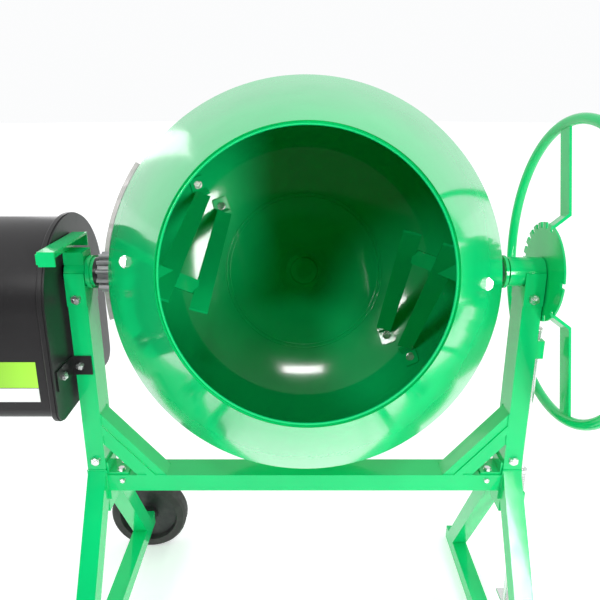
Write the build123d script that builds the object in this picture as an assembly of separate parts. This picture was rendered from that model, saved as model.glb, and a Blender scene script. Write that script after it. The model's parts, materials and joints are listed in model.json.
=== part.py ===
"""Tilting-drum concrete mixer, about 220 litres, as separate pieces.

Millimetres, +Z up. The drum's mouth faces -Y, the motor housing is on -X and the hand wheel on +X.
The pieces are drawn round the tilt axis (X, through the origin) and moved to the row's frame at the
end: the origin is on the floor, under the middle of the whole mixer.

Pieces that tilt are drawn in the drum's own frame, in which Z is the drum's axis, positive towards
the mouth. TILTED turns that frame to its place at rest.
"""

from build123d import *
import math
import os

os.makedirs("parts", exist_ok=True)

# Whole machine
TILT_HEIGHT = 960  # tilt axis above the floor
DRUM_RISE = 16  # drum axis above the horizontal at rest, degrees
RUNNING = 0.05  # radial clearance of a shaft in its bush
HOLE_PLAY = 0.2  # radial clearance of a bolt in its hole

# Drum: stations along its axis and radii
SHEET = 3
MOUTH_A = 386
MOUTH_R = 205
BEAD_R = 3.5
BELLY_R = 374
BELLY_FRONT_A = 91
SEAM_A = -54
SEAM_FLANGE_R = 390
KNUCKLE_R = 110  # round of the bowl's edge
DISH_SLOPE = 24  # slope of the shallow dish where the round ends, degrees
BASE_SLOPE = 12  # slope of the dish where it meets the flat base
BASE_DISC_R = 200.2
BASE_A = -299
BASE_BEAD_R = 198
BASE_BEAD_SIZE = 2.5
CONE_BOLT_A = 221
CONE_BOLT_ANGLES = (-3.5, 176.5)

# Crown gear and pinion
MODULE = 6
CROWN_TEETH = 128
PINION_TEETH = 12
PRESSURE_ANGLE = 25
BACKLASH = 2.6  # along the pitch line
CROWN_IN_R = 376
CROWN_OUT_R = 398
CROWN_SEGMENTS = 4
ADDENDUM = 0.8 * MODULE
PINION_ADDENDUM = 0.85 * MODULE
DEDENDUM = MODULE
PITCH_A = -PINION_TEETH * MODULE / 2
CROWN_BOLT_R = 382

# Hub and axle at the back of the drum
HUB_FLANGE_R = 64
HUB_MOUTH_R = 28
HUB_R = 44
HUB_LENGTH = 58
HUB_FLANGE = 8
HUB_BOLT_R = 54
BEARING_R = 36
BEARING_WIDTH = 19
AXLE_R = 15
CAP_R = 64
CAP_BOSS_R = 36

# Mixing blades, as (radius, angle, station) of each strip's two ends
BLADE_THICK = 5
STRIP_A = ((310, -37, -232), (260, 10, 180), 36)
STRIP_B = ((246, -36, -256), (218, 20, 80), 36)
FOOT_A = (-39, -237)  # angle and station of the bolt in each strip's foot
FOOT_B = (-38, -277)
STRAP_B_STATION = 20
STRAP_WIDTH = 30
BLADE_LEAN = (0.9, -0.35, 0.0)
FOOT_GAP = 3.0  # between a foot's flat pad and the curved wall

# Yoke
ARM_WIDTH = 68
ARM_RIGHT_X = 405
ARM_RIGHT_THICK = 6
ARM_LEFT_X = -436
ARM_LEFT_THICK = 8
ARM_BEND_A = -200
ARM_REAR_X = 285
ARM_REAR_A = -362
ARM_END_X = 190
CROSSBAR_SIDE = 50
YOKE_BOLT_XS = (205, 240)
TRUNNION_R = 20
TRUNNION_BORE_R = 14

# Stand
POST_X = 462
POST_W = 40
POST_D = 60
TUBE_WALL = 3
POST_TOP = -30
POST_BOTTOM = -560
BEAM_TOP = -465.6
BEAM_H = 40
BEAM_BOLT_X = 412
BEAM_BOLT_YS = (-16, 16)
BEAM_SCREW = (407, -478)  # across and height of the screw in the beam's front
POST_BOLT_Z = -427
BEARING_BOLT_Z = -48
LEG_SIDE = 40
LEG_SLOPE = 0.62  # sideways run for each unit of drop
LEG_START_Z = -490
WHEEL_R = 110
WHEEL_W = 46
LEFT_FOOT_Z = -TILT_HEIGHT + WHEEL_R + LEG_SIDE / 2
RIGHT_FOOT_Z = -TILT_HEIGHT + LEG_SIDE
WHEEL_AXLE_R = 10
AXLE_BEAM_HALF = 300
FOOT_BAR_HALF = 345
BEARING_TUBE_R = 30
BUSH_R = 24

# Drive
PINION_IN_X = -376
PINION_OUT_X = -416
PINION_SHAFT_R = 12
PULLEY_R = 76
PULLEY_FLANGE_R = 82
MOTOR_PULLEY_R = 9
BELT_X = -520
BELT_W = 12
BELT_T = 4
BELT_GAP = 0.4
MOTOR_Y = 95
MOTOR_Z = -185
MOTOR_R = 68
MOTOR_FRONT_X = -545
MOTOR_BACK_X = -712
MOTOR_RIBS = 24

# Motor housing
CASE_Y = 42.5
CASE_HALF = 163.5
CASE_ARC_Z = -50.5
CASE_BOTTOM = -289
CASE_CORNER = 34
CASE_FACE_X = -493
CASE_RIM = 11
CASE_STEP = 9
CASE_END_X = -740
CASE_WALL = 3
CLAMP_BOLT_X = -470
CLAMP_BOLT_Y = -80
CLAMP_BOLT_Z = -195
CLAMP_HALF = 21
CLAMP_REACH_Y = -108

# Hand wheel and lock
WHEEL_X = 535
HAND_WHEEL_R = 304
HAND_TUBE_R = 11
SPOKE_WIDTH = 40
SPOKE_THICK = 5
SPOKE_IN_X = 495.5
SPOKE_CRANK_IN = 85
SPOKE_CRANK_OUT = 115
DISC_X = 487
DISC_R = 102
DISC_THICK = 4
NOTCH_W = 10
NOTCH_DEPTH = 12
DUMP_NOTCHES = [104 - 14 * k for k in range(8)]
LOW_NOTCHES = [180, -136, -113, -90, -67]
LOCK_ROD_X = 496
LOCK_ROD_R = 6
LOCK_GAP = 1.5
PEDAL_REACH = 48
PEDAL_HALF = 40
LOCK_GUIDE_ZS = ((-190, -150), (-550, -526))
SPRING_BOTTOM = -526
SPRING_LENGTH = 52
SPRING_WIRE_R = 1.3
SPRING_R = 9.5
SPRING_TURNS = 7

TILTED = Rot(90 - DRUM_RISE, 0, 0)


def box(x0, x1, y0, y1, z0, z1):
    """A block between two corners."""
    return Pos((x0 + x1) / 2, (y0 + y1) / 2, (z0 + z1) / 2) * Box(x1 - x0, y1 - y0, z1 - z0)


def rod(start, end, radius):
    """A round bar between two points."""
    a, b = Vector(*start), Vector(*end)
    plane = Plane(origin=a, z_dir=b - a)
    return extrude(plane * Circle(radius), amount=(b - a).length)


def ring(start, end, outer, inner):
    """A tube between two points."""
    return rod(start, end, outer) - rod(start, end, inner)


def turned(points):
    """A solid turned round Z from an outline of (radius, station) corners."""
    return revolve(make_face(Plane.XZ * Polyline(*points, close=True)), Axis.Z, 360)


def polar(radius, angle, station):
    """The point at a radius, an angle in degrees and a station along Z."""
    t = math.radians(angle)
    return Vector(radius * math.cos(t), radius * math.sin(t), station)


def bolt(seat, outward, grip, radius, nut=True):
    """A hexagon bolt whose head stands on seat, with its nut on the far side of the grip."""
    out = Vector(*outward).normalized()
    seat = Vector(*seat)
    across = 1.7 * radius
    hexagon = RegularPolygon(across, 6, major_radius=False)
    head = extrude(Plane(origin=seat, z_dir=out) * hexagon, 1.3 * radius)
    tail = seat - out * (grip + (2.2 * radius if nut else 0))
    solid = head + rod(seat, tail, radius)
    if nut:
        under = Plane(origin=seat - out * grip, z_dir=-out)
        solid += extrude(under * hexagon, 1.6 * radius)
    return solid


def bolt_hole(seat, outward, depth, radius):
    """The hole for such a bolt."""
    out = Vector(*outward).normalized()
    seat = Vector(*seat)
    return rod(seat + out * 2, seat - out * depth, radius + HOLE_PLAY)


def hollow_bar(length, width, height, wall):
    """A rectangular tube along Z, centred on the origin."""
    return Box(width, height, length) - Box(width - 2 * wall, height - 2 * wall, length)


# Drum ---------------------------------------------------------------------------------------------

CONE_MOUTH_R = MOUTH_R + BEAD_R
CONE_SLOPE = (BELLY_R - CONE_MOUTH_R) / (MOUTH_A - BELLY_FRONT_A)
CONE_ANGLE = math.atan(CONE_SLOPE)
STEEP = math.radians(DISH_SLOPE)
FLAT = math.radians(BASE_SLOPE)
KNUCKLE_CENTRE_R = BELLY_R - KNUCKLE_R
DISH_R = (KNUCKLE_CENTRE_R + KNUCKLE_R * math.sin(STEEP) - BASE_DISC_R) / (math.sin(STEEP) - math.sin(FLAT))
KNUCKLE_A = BASE_A + KNUCKLE_R * math.cos(STEEP) + DISH_R * (math.cos(FLAT) - math.cos(STEEP))
DISH_CENTRE_R = KNUCKLE_CENTRE_R - (DISH_R - KNUCKLE_R) * math.sin(STEEP)
DISH_CENTRE_A = KNUCKLE_A + (DISH_R - KNUCKLE_R) * math.cos(STEEP)


def cone_radius(station):
    """Outside radius of the drum's front cone at a station."""
    return BELLY_R - CONE_SLOPE * (station - BELLY_FRONT_A)


def bowl_wall(station, inset=0.0):
    """Radius and lean of the bowl's outside, or of a surface inset from it, at a station."""
    if KNUCKLE_A - station < (KNUCKLE_R - inset) * math.cos(STEEP):
        centre, height, arc = KNUCKLE_CENTRE_R, KNUCKLE_A, KNUCKLE_R - inset
    else:
        centre, height, arc = DISH_CENTRE_R, DISH_CENTRE_A, DISH_R - inset
    lean = math.asin((height - station) / arc)
    return centre + arc * math.cos(lean), lean


def cone_bolt_seat(angle):
    """Where a blade's front bolt meets the outside of the cone, and its outward direction."""
    out = polar(math.cos(CONE_ANGLE), angle, math.sin(CONE_ANGLE))
    return polar(cone_radius(CONE_BOLT_A), angle, CONE_BOLT_A), out


def bowl_bolt_seat(foot, turn):
    """Where a blade's foot bolt meets the inside of the bowl, and its inward direction."""
    angle, station = foot
    inside, lean = bowl_wall(station, SHEET)
    inward = polar(-math.cos(lean), angle + turn, math.sin(lean))
    return polar(inside, angle + turn, station), inward


def drum_cone():
    """Front half: rolled rim, cone and the front of the belly, with its seam flange."""
    inner_slope_a = BELLY_FRONT_A - SHEET * math.tan(CONE_ANGLE / 2)
    inner_mouth_r = CONE_MOUTH_R - SHEET / math.cos(CONE_ANGLE)
    shell = turned(
        [
            (CONE_MOUTH_R, MOUTH_A),
            (BELLY_R, BELLY_FRONT_A),
            (BELLY_R, SEAM_A + SHEET),
            (SEAM_FLANGE_R, SEAM_A + SHEET),
            (SEAM_FLANGE_R, SEAM_A),
            (BELLY_R - SHEET, SEAM_A),
            (BELLY_R - SHEET, inner_slope_a),
            (inner_mouth_r, MOUTH_A),
        ]
    )
    shell += Pos(0, 0, MOUTH_A) * Torus(CONE_MOUTH_R, BEAD_R)
    for angle in CONE_BOLT_ANGLES:
        seat, out = cone_bolt_seat(angle)
        shell -= bolt_hole(seat, out, 12, 5)
    for seat in crown_bolt_points():
        shell -= bolt_hole(seat, (0, 0, -1), 20, 3)
    return shell


def drum_bowl():
    """Back half: flange, the back of the belly, the rounded edge, the shallow dish and its flat base."""
    knuckle = (KNUCKLE_CENTRE_R, KNUCKLE_A)
    dish = (DISH_CENTRE_R, DISH_CENTRE_A)
    turn = DISH_SLOPE - 90
    floor = BASE_A + SHEET
    floor_turn = -math.degrees(math.asin((DISH_CENTRE_A - floor) / (DISH_R - SHEET)))
    outer_round = CenterArc(knuckle, KNUCKLE_R, 0, turn)
    outer_dish = CenterArc(dish, DISH_R, turn, BASE_SLOPE - DISH_SLOPE)
    inner_round = CenterArc(knuckle, KNUCKLE_R - SHEET, 0, turn)
    inner_dish = CenterArc(dish, DISH_R - SHEET, turn, floor_turn - turn)
    back = SEAM_A - SHEET
    outline = (
        Line((SEAM_FLANGE_R, SEAM_A), (SEAM_FLANGE_R, back))
        + Line((SEAM_FLANGE_R, back), (BELLY_R, back))
        + Line((BELLY_R, back), (BELLY_R, KNUCKLE_A))
        + outer_round
        + outer_dish
        + Line(outer_dish @ 1, (HUB_MOUTH_R, BASE_A))
        + Line((HUB_MOUTH_R, BASE_A), (HUB_MOUTH_R, floor))
        + Line((HUB_MOUTH_R, floor), inner_dish @ 1)
        + inner_dish
        + inner_round
        + Line(inner_round @ 0, (BELLY_R - SHEET, SEAM_A))
        + Line((BELLY_R - SHEET, SEAM_A), (SEAM_FLANGE_R, SEAM_A))
    )
    shell = revolve(make_face(Plane.XZ * outline), Axis.Z, 360)
    shell += Pos(0, 0, BASE_A + SHEET) * Torus(BASE_BEAD_R, BASE_BEAD_SIZE)
    for turn in (0, 180):
        for foot in (FOOT_A, FOOT_B):
            seat, inward = bowl_bolt_seat(foot, turn)
            shell -= bolt_hole(seat + inward * 4, inward, 14, 5)
    for seat in crown_bolt_points():
        shell -= bolt_hole(seat, (0, 0, -1), 10, 3)
    for seat in hub_bolt_points():
        shell -= bolt_hole(seat, (0, 0, -1), 20, 4)
    return shell


def crown_bolt_points():
    """Seats of the screws that hold the crown segments, behind the seam flange."""
    step = 360 / CROWN_SEGMENTS
    return [
        polar(CROWN_BOLT_R, step * (k + part), SEAM_A - SHEET)
        for k in range(CROWN_SEGMENTS)
        for part in (0.1, 0.37, 0.63, 0.9)
    ]


def hub_bolt_points():
    """Seats of the hub's bolts, behind its flange."""
    return [polar(HUB_BOLT_R, 60 * k + 30, BASE_A - HUB_FLANGE) for k in range(6)]


def crown_segment():
    """One cast segment of the crown gear, teeth towards the mouth."""
    front = PITCH_A - DEDENDUM - 0.2
    back = SEAM_A + SHEET
    sweep = 360 / CROWN_SEGMENTS
    pitch = math.pi * MODULE
    half = (pitch - BACKLASH) / 4
    lean = math.tan(math.radians(PRESSURE_ANGLE))
    tip = half - ADDENDUM * lean
    foot = half + (PITCH_A - front + 1) * lean
    band = turned([(CROWN_IN_R, back), (CROWN_OUT_R, back), (CROWN_OUT_R, front), (CROWN_IN_R, front)])
    tall = turned([(CROWN_IN_R, back), (CROWN_OUT_R, back), (CROWN_OUT_R, 0), (CROWN_IN_R, 0)])
    top = PITCH_A + ADDENDUM
    outline = Polyline((-foot, front - 1), (-tip, top), (tip, top), (foot, front - 1), close=True)
    tooth = extrude(Plane.YZ.offset(CROWN_IN_R - 6) * make_face(outline), CROWN_OUT_R - CROWN_IN_R + 12)
    count = CROWN_TEETH // CROWN_SEGMENTS
    teeth = [Rot(0, 0, 360 / CROWN_TEETH * (k + 0.5)) * tooth for k in range(count)]
    gap = 0.06
    reach = 2 * CROWN_OUT_R
    wedge_points = [(0, 0)] + [
        (reach * math.cos(math.radians(t)), reach * math.sin(math.radians(t)))
        for t in (gap, sweep / 3, 2 * sweep / 3, sweep - gap)
    ]
    wedge = Pos(0, 0, back) * extrude(make_face(Polyline(*wedge_points, close=True)), 60)
    segment = (band + teeth) & tall & wedge
    for seat in crown_bolt_points()[:4]:
        segment -= bolt_hole(seat, (0, 0, -1), 13.5, 3)
    return segment


def crown_gear():
    """The whole ring of segments."""
    first = crown_segment()
    return [Rot(0, 0, 360 / CROWN_SEGMENTS * k) * first for k in range(CROWN_SEGMENTS)]


def drum_hub():
    """Bearing housing bolted behind the drum's base."""
    back = BASE_A - HUB_LENGTH
    hub = turned(
        [
            (HUB_MOUTH_R, BASE_A),
            (HUB_FLANGE_R, BASE_A),
            (HUB_FLANGE_R, BASE_A - HUB_FLANGE),
            (HUB_R, BASE_A - HUB_FLANGE),
            (HUB_R, back),
            (BEARING_R, back),
            (BEARING_R, BASE_A - HUB_FLANGE),
            (HUB_MOUTH_R, BASE_A - HUB_FLANGE),
        ]
    )
    for seat in hub_bolt_points():
        hub -= bolt_hole(seat, (0, 0, -1), 20, 4)
    return hub


def drum_bearings():
    """The hub's two ball bearings, each with the groove between its rings."""
    bearings = []
    for front in (BASE_A - HUB_FLANGE, BASE_A - HUB_LENGTH + BEARING_WIDTH + 1):
        back = front - BEARING_WIDTH
        bearing = ring((0, 0, back), (0, 0, front), BEARING_R, AXLE_R + RUNNING)
        for groove in (front - 2, back):
            bearing -= ring((0, 0, groove), (0, 0, groove + 2), BEARING_R - 6, AXLE_R + 7)
        bearings.append(bearing)
    return bearings


def hub_cap():
    """Pressed dome inside the drum over the axle's nut."""
    floor = BASE_A + SHEET
    return turned(
        [
            (CAP_R, floor),
            (CAP_R, floor + 2),
            (CAP_R - 20, floor + 2),
            (CAP_BOSS_R, floor + 12),
            (CAP_BOSS_R - 5, floor + 34),
            (CAP_BOSS_R - 10, floor + 37),
            (0, floor + 39),
            (0, floor + 36.5),
            (CAP_BOSS_R - 11, floor + 34.5),
            (CAP_BOSS_R - 8, floor + 32),
            (CAP_BOSS_R - 3, floor + 10),
            (CAP_BOSS_R - 1, floor),
        ]
    )


def strip_across(strip):
    """The direction of a strip's width, turned towards BLADE_LEAN."""
    along = (polar(*strip[1]) - polar(*strip[0])).normalized()
    lean = Vector(*BLADE_LEAN)
    return (lean - along * lean.dot(along)).normalized()


def blade_strip(strip):
    """A flat bar between two points."""
    start, end, width = strip
    run = polar(*end) - polar(*start)
    plane = Plane(origin=polar(*start), x_dir=strip_across(strip), z_dir=run)
    return extrude(plane * Rectangle(width, BLADE_THICK), amount=run.length)


def strip_point(strip, station):
    """The point on a strip's centre line at a station."""
    a, b = polar(*strip[0]), polar(*strip[1])
    return a + (b - a) * ((station - a.Z) / (b.Z - a.Z))


def mixing_blade(turn):
    """One welded mixing blade: two strips, the strap across them and two bolted feet."""
    blade = blade_strip(STRIP_A) + blade_strip(STRIP_B)
    seat, out = cone_bolt_seat(CONE_BOLT_ANGLES[0])
    cheek = seat - out * (SHEET + 1.2)
    near_b = strip_point(STRIP_B, STRAP_B_STATION) + strip_across(STRIP_B) * (STRIP_B[2] / 2 - 4)
    down_wall = polar(math.sin(CONE_ANGLE), CONE_BOLT_ANGLES[0], -math.cos(CONE_ANGLE))
    near_cone = cheek + down_wall * 17 - out * BLADE_THICK / 2
    strap_plane = Plane(origin=near_b, x_dir=Vector(0, 1, 0), z_dir=near_cone - near_b)
    blade += extrude(strap_plane * Rectangle(STRAP_WIDTH, BLADE_THICK), amount=(near_cone - near_b).length)
    pad = Plane(origin=cheek, x_dir=Vector(0, 1, 0), z_dir=-out)
    blade += extrude(pad * RectangleRounded(34, 40, 6), amount=BLADE_THICK)
    blade -= bolt_hole(seat, out, 30, 5)
    for strip, foot in ((STRIP_A, FOOT_A), (STRIP_B, FOOT_B)):
        blade += blade_foot(strip, foot)
        foot_seat, inward = bowl_bolt_seat(foot, 0)
        blade -= bolt_hole(foot_seat + inward * 12, inward, 30, 5)
    return Rot(0, 0, turn) * blade


def blade_foot(strip, foot):
    """The bent end of a strip: a pad on the bowl's wall and the bend up to the strip."""
    seat, inward = bowl_bolt_seat(foot, 0)
    end = polar(*strip[0])
    along = end - seat
    along = (along - inward * along.dot(inward)).normalized()
    origin = seat + inward * FOOT_GAP
    pad_plane = Plane(origin=origin, x_dir=along, z_dir=inward)
    pad = extrude(pad_plane * RectangleRounded(40, 36, 6), amount=BLADE_THICK)
    start = origin + along * 17 + inward * BLADE_THICK / 2
    rise = end - start
    bend_plane = Plane(origin=start, x_dir=along.cross(inward), z_dir=rise)
    return pad + extrude(bend_plane * Rectangle(34, BLADE_THICK), rise.length + 3)


def drum_bolts():
    """Blade bolts, crown screws and hub bolts."""
    bolts = []
    for angle in CONE_BOLT_ANGLES:
        seat, out = cone_bolt_seat(angle)
        bolts.append(bolt(seat + out * 0.2, out, SHEET + 1.4 + BLADE_THICK, 5))
    for turn in (0, 180):
        for foot in (FOOT_A, FOOT_B):
            seat, inward = bowl_bolt_seat(foot, turn)
            pad = FOOT_GAP + BLADE_THICK
            bolts.append(bolt(seat + inward * pad, inward, pad + SHEET + 0.3, 5))
    for seat in crown_bolt_points():
        bolts.append(bolt(seat, (0, 0, -1), 12, 3, nut=False))
    for seat in hub_bolt_points():
        bolts.append(bolt(seat, (0, 0, -1), HUB_FLANGE + SHEET, 4, nut=False))
    return bolts


# Yoke ---------------------------------------------------------------------------------------------


def yoke_arm(side_x, thick):
    """A flat bar bent round the drum, from the tilt axis to the crossbar."""
    sign = math.copysign(1, side_x)
    inner = abs(side_x) - thick / 2
    outer = abs(side_x) + thick / 2
    run = Vector(ARM_REAR_X - abs(side_x), ARM_REAR_A - ARM_BEND_A)
    to_side = math.atan2(-run.X, -run.Y)
    front_shift = thick * math.tan(to_side / 2)
    rear_shift = thick * math.tan((math.pi / 2 - to_side) / 2)
    points = [
        (inner, ARM_WIDTH / 2),
        (outer, ARM_WIDTH / 2),
        (outer, ARM_BEND_A - front_shift / 2),
        (ARM_REAR_X + rear_shift / 2, ARM_REAR_A - thick / 2),
        (ARM_END_X, ARM_REAR_A - thick / 2),
        (ARM_END_X, ARM_REAR_A + thick / 2),
        (ARM_REAR_X - rear_shift / 2, ARM_REAR_A + thick / 2),
        (inner, ARM_BEND_A + front_shift / 2),
    ]
    outline = Plane.XZ * Polyline(*[(sign * x, a) for x, a in points], close=True)
    arm = extrude(make_face(outline), amount=ARM_WIDTH / 2, both=True)
    corner = box(-600, 600, -ARM_WIDTH, ARM_WIDTH, 0, ARM_WIDTH)
    lug = rod((-600, 0, 0), (600, 0, 0), ARM_WIDTH / 2)
    arm -= corner - lug
    arm -= rod((sign * 350, 0, 0), (sign * 500, 0, 0), TRUNNION_R + 4)
    for seat, out in yoke_bolt_points():
        if seat.X * sign > 0:
            arm -= bolt_hole(seat, out, 20, 5)
    return arm


def yoke_bolt_points():
    """Seats of the four bolts that hold the arms to the crossbar."""
    seats = []
    for side, thick in ((-1, ARM_LEFT_THICK), (1, ARM_RIGHT_THICK)):
        for x in YOKE_BOLT_XS:
            seats.append((Vector(side * x, 0, ARM_REAR_A + thick / 2), Vector(0, 0, 1)))
    return seats


def yoke_crossbar():
    """Square tube behind the drum, with the plate that holds the drum's axle."""
    front = ARM_REAR_A - ARM_LEFT_THICK / 2
    centre = front - CROSSBAR_SIDE / 2
    bar = Pos(0, 0, centre) * (Rot(0, 90, 0) * hollow_bar(560, CROSSBAR_SIDE, 60, 4))
    for x0, x1 in ((-280, -276), (276, 280)):
        bar += box(x0, x1, -30, 30, centre - CROSSBAR_SIDE / 2, centre + CROSSBAR_SIDE / 2)
    bar += rod((0, 0, centre - CROSSBAR_SIDE / 2 - 4), (0, 0, front), 28)
    bar -= rod((0, 0, centre - 60), (0, 0, front + 2), AXLE_R + 0.02)
    for seat, out in yoke_bolt_points():
        bar -= bolt_hole(seat, out, 90, 5)
    bar += shim_right(front)
    return bar


def shim_right(front):
    """Spacer that makes up for the thinner right arm."""
    plate = box(ARM_END_X, 268, -30, 30, front, ARM_REAR_A - ARM_RIGHT_THICK / 2)
    for seat, out in yoke_bolt_points():
        plate -= bolt_hole(seat, out, 90, 5)
    return plate


def drum_axle():
    """Fixed axle that the drum turns on."""
    back = ARM_REAR_A - ARM_LEFT_THICK / 2 - CROSSBAR_SIDE - 12
    axle = rod((0, 0, back), (0, 0, BASE_A + 24), AXLE_R)
    collar = BASE_A - HUB_LENGTH - 1
    axle += rod((0, 0, ARM_REAR_A - ARM_LEFT_THICK / 2), (0, 0, collar), AXLE_R + 5)
    return axle


def trunnion_left():
    """Hollow left trunnion with its boss, which carries the pinion shaft."""
    outer_x = ARM_LEFT_X - ARM_LEFT_THICK / 2
    inner_x = ARM_LEFT_X + ARM_LEFT_THICK / 2
    body = rod((-486, 0, 0), (outer_x, 0, 0), TRUNNION_R)
    body += rod((outer_x, 0, 0), (inner_x, 0, 0), TRUNNION_R + 4)
    body += rod((inner_x, 0, 0), (inner_x + 6, 0, 0), 30)
    return body - rod((-600, 0, 0), (-400, 0, 0), TRUNNION_BORE_R)


def pinion_bearing():
    """Black flanged bearing between the left trunnion and the pinion."""
    start = ARM_LEFT_X + ARM_LEFT_THICK / 2 + 6
    body = rod((start, 0, 0), (PINION_OUT_X - 0.6, 0, 0), 30)
    body += rod((start - 30, 0, 0), (start, 0, 0), TRUNNION_BORE_R)
    body += rod((-486, 0, 0), (-470, 0, 0), TRUNNION_BORE_R)
    return body - rod((-600, 0, 0), (-400, 0, 0), PINION_SHAFT_R + RUNNING)


def trunnion_right():
    """Solid right trunnion, welded to the arm, which carries the lock disc and the hand wheel."""
    inner_x = ARM_RIGHT_X - ARM_RIGHT_THICK / 2
    body = rod((inner_x, 0, 0), (ARM_RIGHT_X + ARM_RIGHT_THICK / 2, 0, 0), TRUNNION_R + 4)
    body += rod((ARM_RIGHT_X + ARM_RIGHT_THICK / 2, 0, 0), (DISC_X - DISC_THICK / 2, 0, 0), TRUNNION_R)
    body += rod((DISC_X - DISC_THICK / 2, 0, 0), (516, 0, 0), 12)
    return body


def gear_guard():
    """Sheet guard round the crown's left side, with the bracket that holds it to the arm."""
    back, front = -66, -40
    outer, inner = 427, 403
    wall = turned([(outer - 2, back), (outer, back), (outer, front), (outer - 2, front)])
    wall += turned([(inner, back), (outer, back), (outer, back + 2), (inner, back + 2)])
    wall += turned([(outer - 9, front - 2), (outer, front - 2), (outer, front), (outer - 9, front)])
    reach = 900
    angles = (147, 163, 179, 194)
    wedge_points = [(0, 0)]
    for t in angles:
        wedge_points.append((reach * math.cos(math.radians(t)), reach * math.sin(math.radians(t))))
    wedge = Pos(0, 0, back - 5) * extrude(make_face(Polyline(*wedge_points, close=True)), 60)
    guard = wall & wedge
    guard += box(-432, -404, -20, 20, back - 3, back)
    return guard


def lock_disc():
    """Notched disc with a pressed dish, keyed on the right trunnion."""
    left = DISC_X - DISC_THICK / 2
    disc = rod((left, 0, 0), (left + DISC_THICK, 0, 0), DISC_R)
    disc -= ring((left + 2.4, 0, 0), (left + DISC_THICK, 0, 0), 71, 57)
    for angle in DUMP_NOTCHES + LOW_NOTCHES:
        depth = (DISC_R - NOTCH_DEPTH, DISC_R + 4)
        notch = box(left - 1, left + DISC_THICK + 1, *depth, -NOTCH_W / 2, NOTCH_W / 2)
        disc -= Rot(angle, 0, 0) * notch
    return disc - rod((left - 1, 0, 0), (left + DISC_THICK + 1, 0, 0), 12)


def hand_wheel_rim():
    """Round tube rim."""
    return Pos(WHEEL_X, 0, 0) * (Rot(0, 90, 0) * Torus(HAND_WHEEL_R, HAND_TUBE_R))


def hand_wheel_spokes():
    """One cranked flat bar right across the wheel, with its hub plate."""
    half = SPOKE_THICK / 2
    reach = HAND_WHEEL_R
    upper = [
        (SPOKE_IN_X + half, SPOKE_CRANK_IN - 2),
        (WHEEL_X + half, SPOKE_CRANK_OUT - 2),
        (WHEEL_X + half, reach),
        (WHEEL_X - half, reach),
        (WHEEL_X - half, SPOKE_CRANK_OUT + 2),
        (SPOKE_IN_X - half, SPOKE_CRANK_IN + 2),
    ]
    points = upper + [(x, -y) for x, y in reversed(upper)]
    strip = extrude(make_face(Polyline(*points, close=True)), amount=SPOKE_WIDTH / 2, both=True)
    hub = ring((DISC_X + DISC_THICK / 2, 0, 0), (SPOKE_IN_X + half + 3, 0, 0), 34, 12)
    spokes = strip - rod((480, 0, 0), (520, 0, 0), 12) + hub
    return spokes - hand_wheel_rim()


def yoke_fasteners():
    """Nuts on the trunnion and the axle, and the bolts through the crossbar."""
    depth = ARM_LEFT_THICK + CROSSBAR_SIDE
    solids = [bolt(seat, out, depth if seat.X < 0 else depth - 1, 5) for seat, out in yoke_bolt_points()]
    wheel_face = SPOKE_IN_X + SPOKE_THICK / 2 + 3
    nut = Plane(origin=(wheel_face, 0, 0), z_dir=(1, 0, 0)) * RegularPolygon(18, 6, major_radius=False)
    solids.append(extrude(nut, 12) - rod((480, 0, 0), (530, 0, 0), 12))
    inner_nut = Pos(0, 0, BASE_A - 7) * extrude(RegularPolygon(21, 6, major_radius=False), 24)
    solids.append(inner_nut - rod((0, 0, -400), (0, 0, 0), AXLE_R))
    return solids


# Drive --------------------------------------------------------------------------------------------


def pinion_outline():
    """The pinion's involute outline in the YZ plane, one tooth towards -Z."""
    pitch_r = PINION_TEETH * MODULE / 2
    base_r = pitch_r * math.cos(math.radians(PRESSURE_ANGLE))
    tip_r = pitch_r + PINION_ADDENDUM
    root_r = pitch_r - ADDENDUM - 0.9
    half = (math.pi * MODULE - BACKLASH) / 4 / pitch_r
    involute = math.tan(math.radians(PRESSURE_ANGLE)) - math.radians(PRESSURE_ANGLE)
    flank = [(root_r, half + involute)]
    steps = 4
    for k in range(steps + 1):
        r = base_r + (tip_r - base_r) * k / steps
        alpha = math.acos(base_r / r)
        flank.append((r, half + involute - (math.tan(alpha) - alpha)))
    points = []
    for tooth in range(PINION_TEETH):
        centre = -math.pi / 2 + 2 * math.pi * tooth / PINION_TEETH
        for r, t in flank:
            points.append((r * math.cos(centre - t), r * math.sin(centre - t)))
        for r, t in reversed(flank):
            points.append((r * math.cos(centre + t), r * math.sin(centre + t)))
    return make_face(Polyline(*points, close=True))


def drive_pinion():
    """Cast pinion keyed to its shaft."""
    width = PINION_IN_X - PINION_OUT_X
    gear = extrude(Plane.YZ.offset(PINION_OUT_X) * pinion_outline(), width)
    return gear - rod((PINION_OUT_X - 1, 0, 0), (PINION_IN_X + 1, 0, 0), PINION_SHAFT_R)


def pinion_shaft():
    """Shaft from the driven pulley, through the trunnion, to the pinion."""
    return rod((-536, 0, 0), (PINION_IN_X, 0, 0), PINION_SHAFT_R)


def driven_pulley():
    """Large belt pulley with six holes in its web."""
    half = BELT_W / 2 + BELT_GAP
    wheel = rod((BELT_X - half - 3, 0, 0), (BELT_X + half + 3, 0, 0), PULLEY_FLANGE_R)
    wheel -= ring((BELT_X - half, 0, 0), (BELT_X + half, 0, 0), PULLEY_FLANGE_R + 1, PULLEY_R)
    for start, end in ((BELT_X - half - 4, BELT_X - 3), (BELT_X + 3, BELT_X + half + 4)):
        wheel -= ring((start, 0, 0), (end, 0, 0), PULLEY_R - 7, 26)
    for k in range(6):
        y, z = 50 * math.cos(k * math.pi / 3), 50 * math.sin(k * math.pi / 3)
        wheel -= rod((BELT_X - 20, y, z), (BELT_X + 20, y, z), 13)
    return wheel - rod((-560, 0, 0), (-480, 0, 0), PINION_SHAFT_R)


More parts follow.
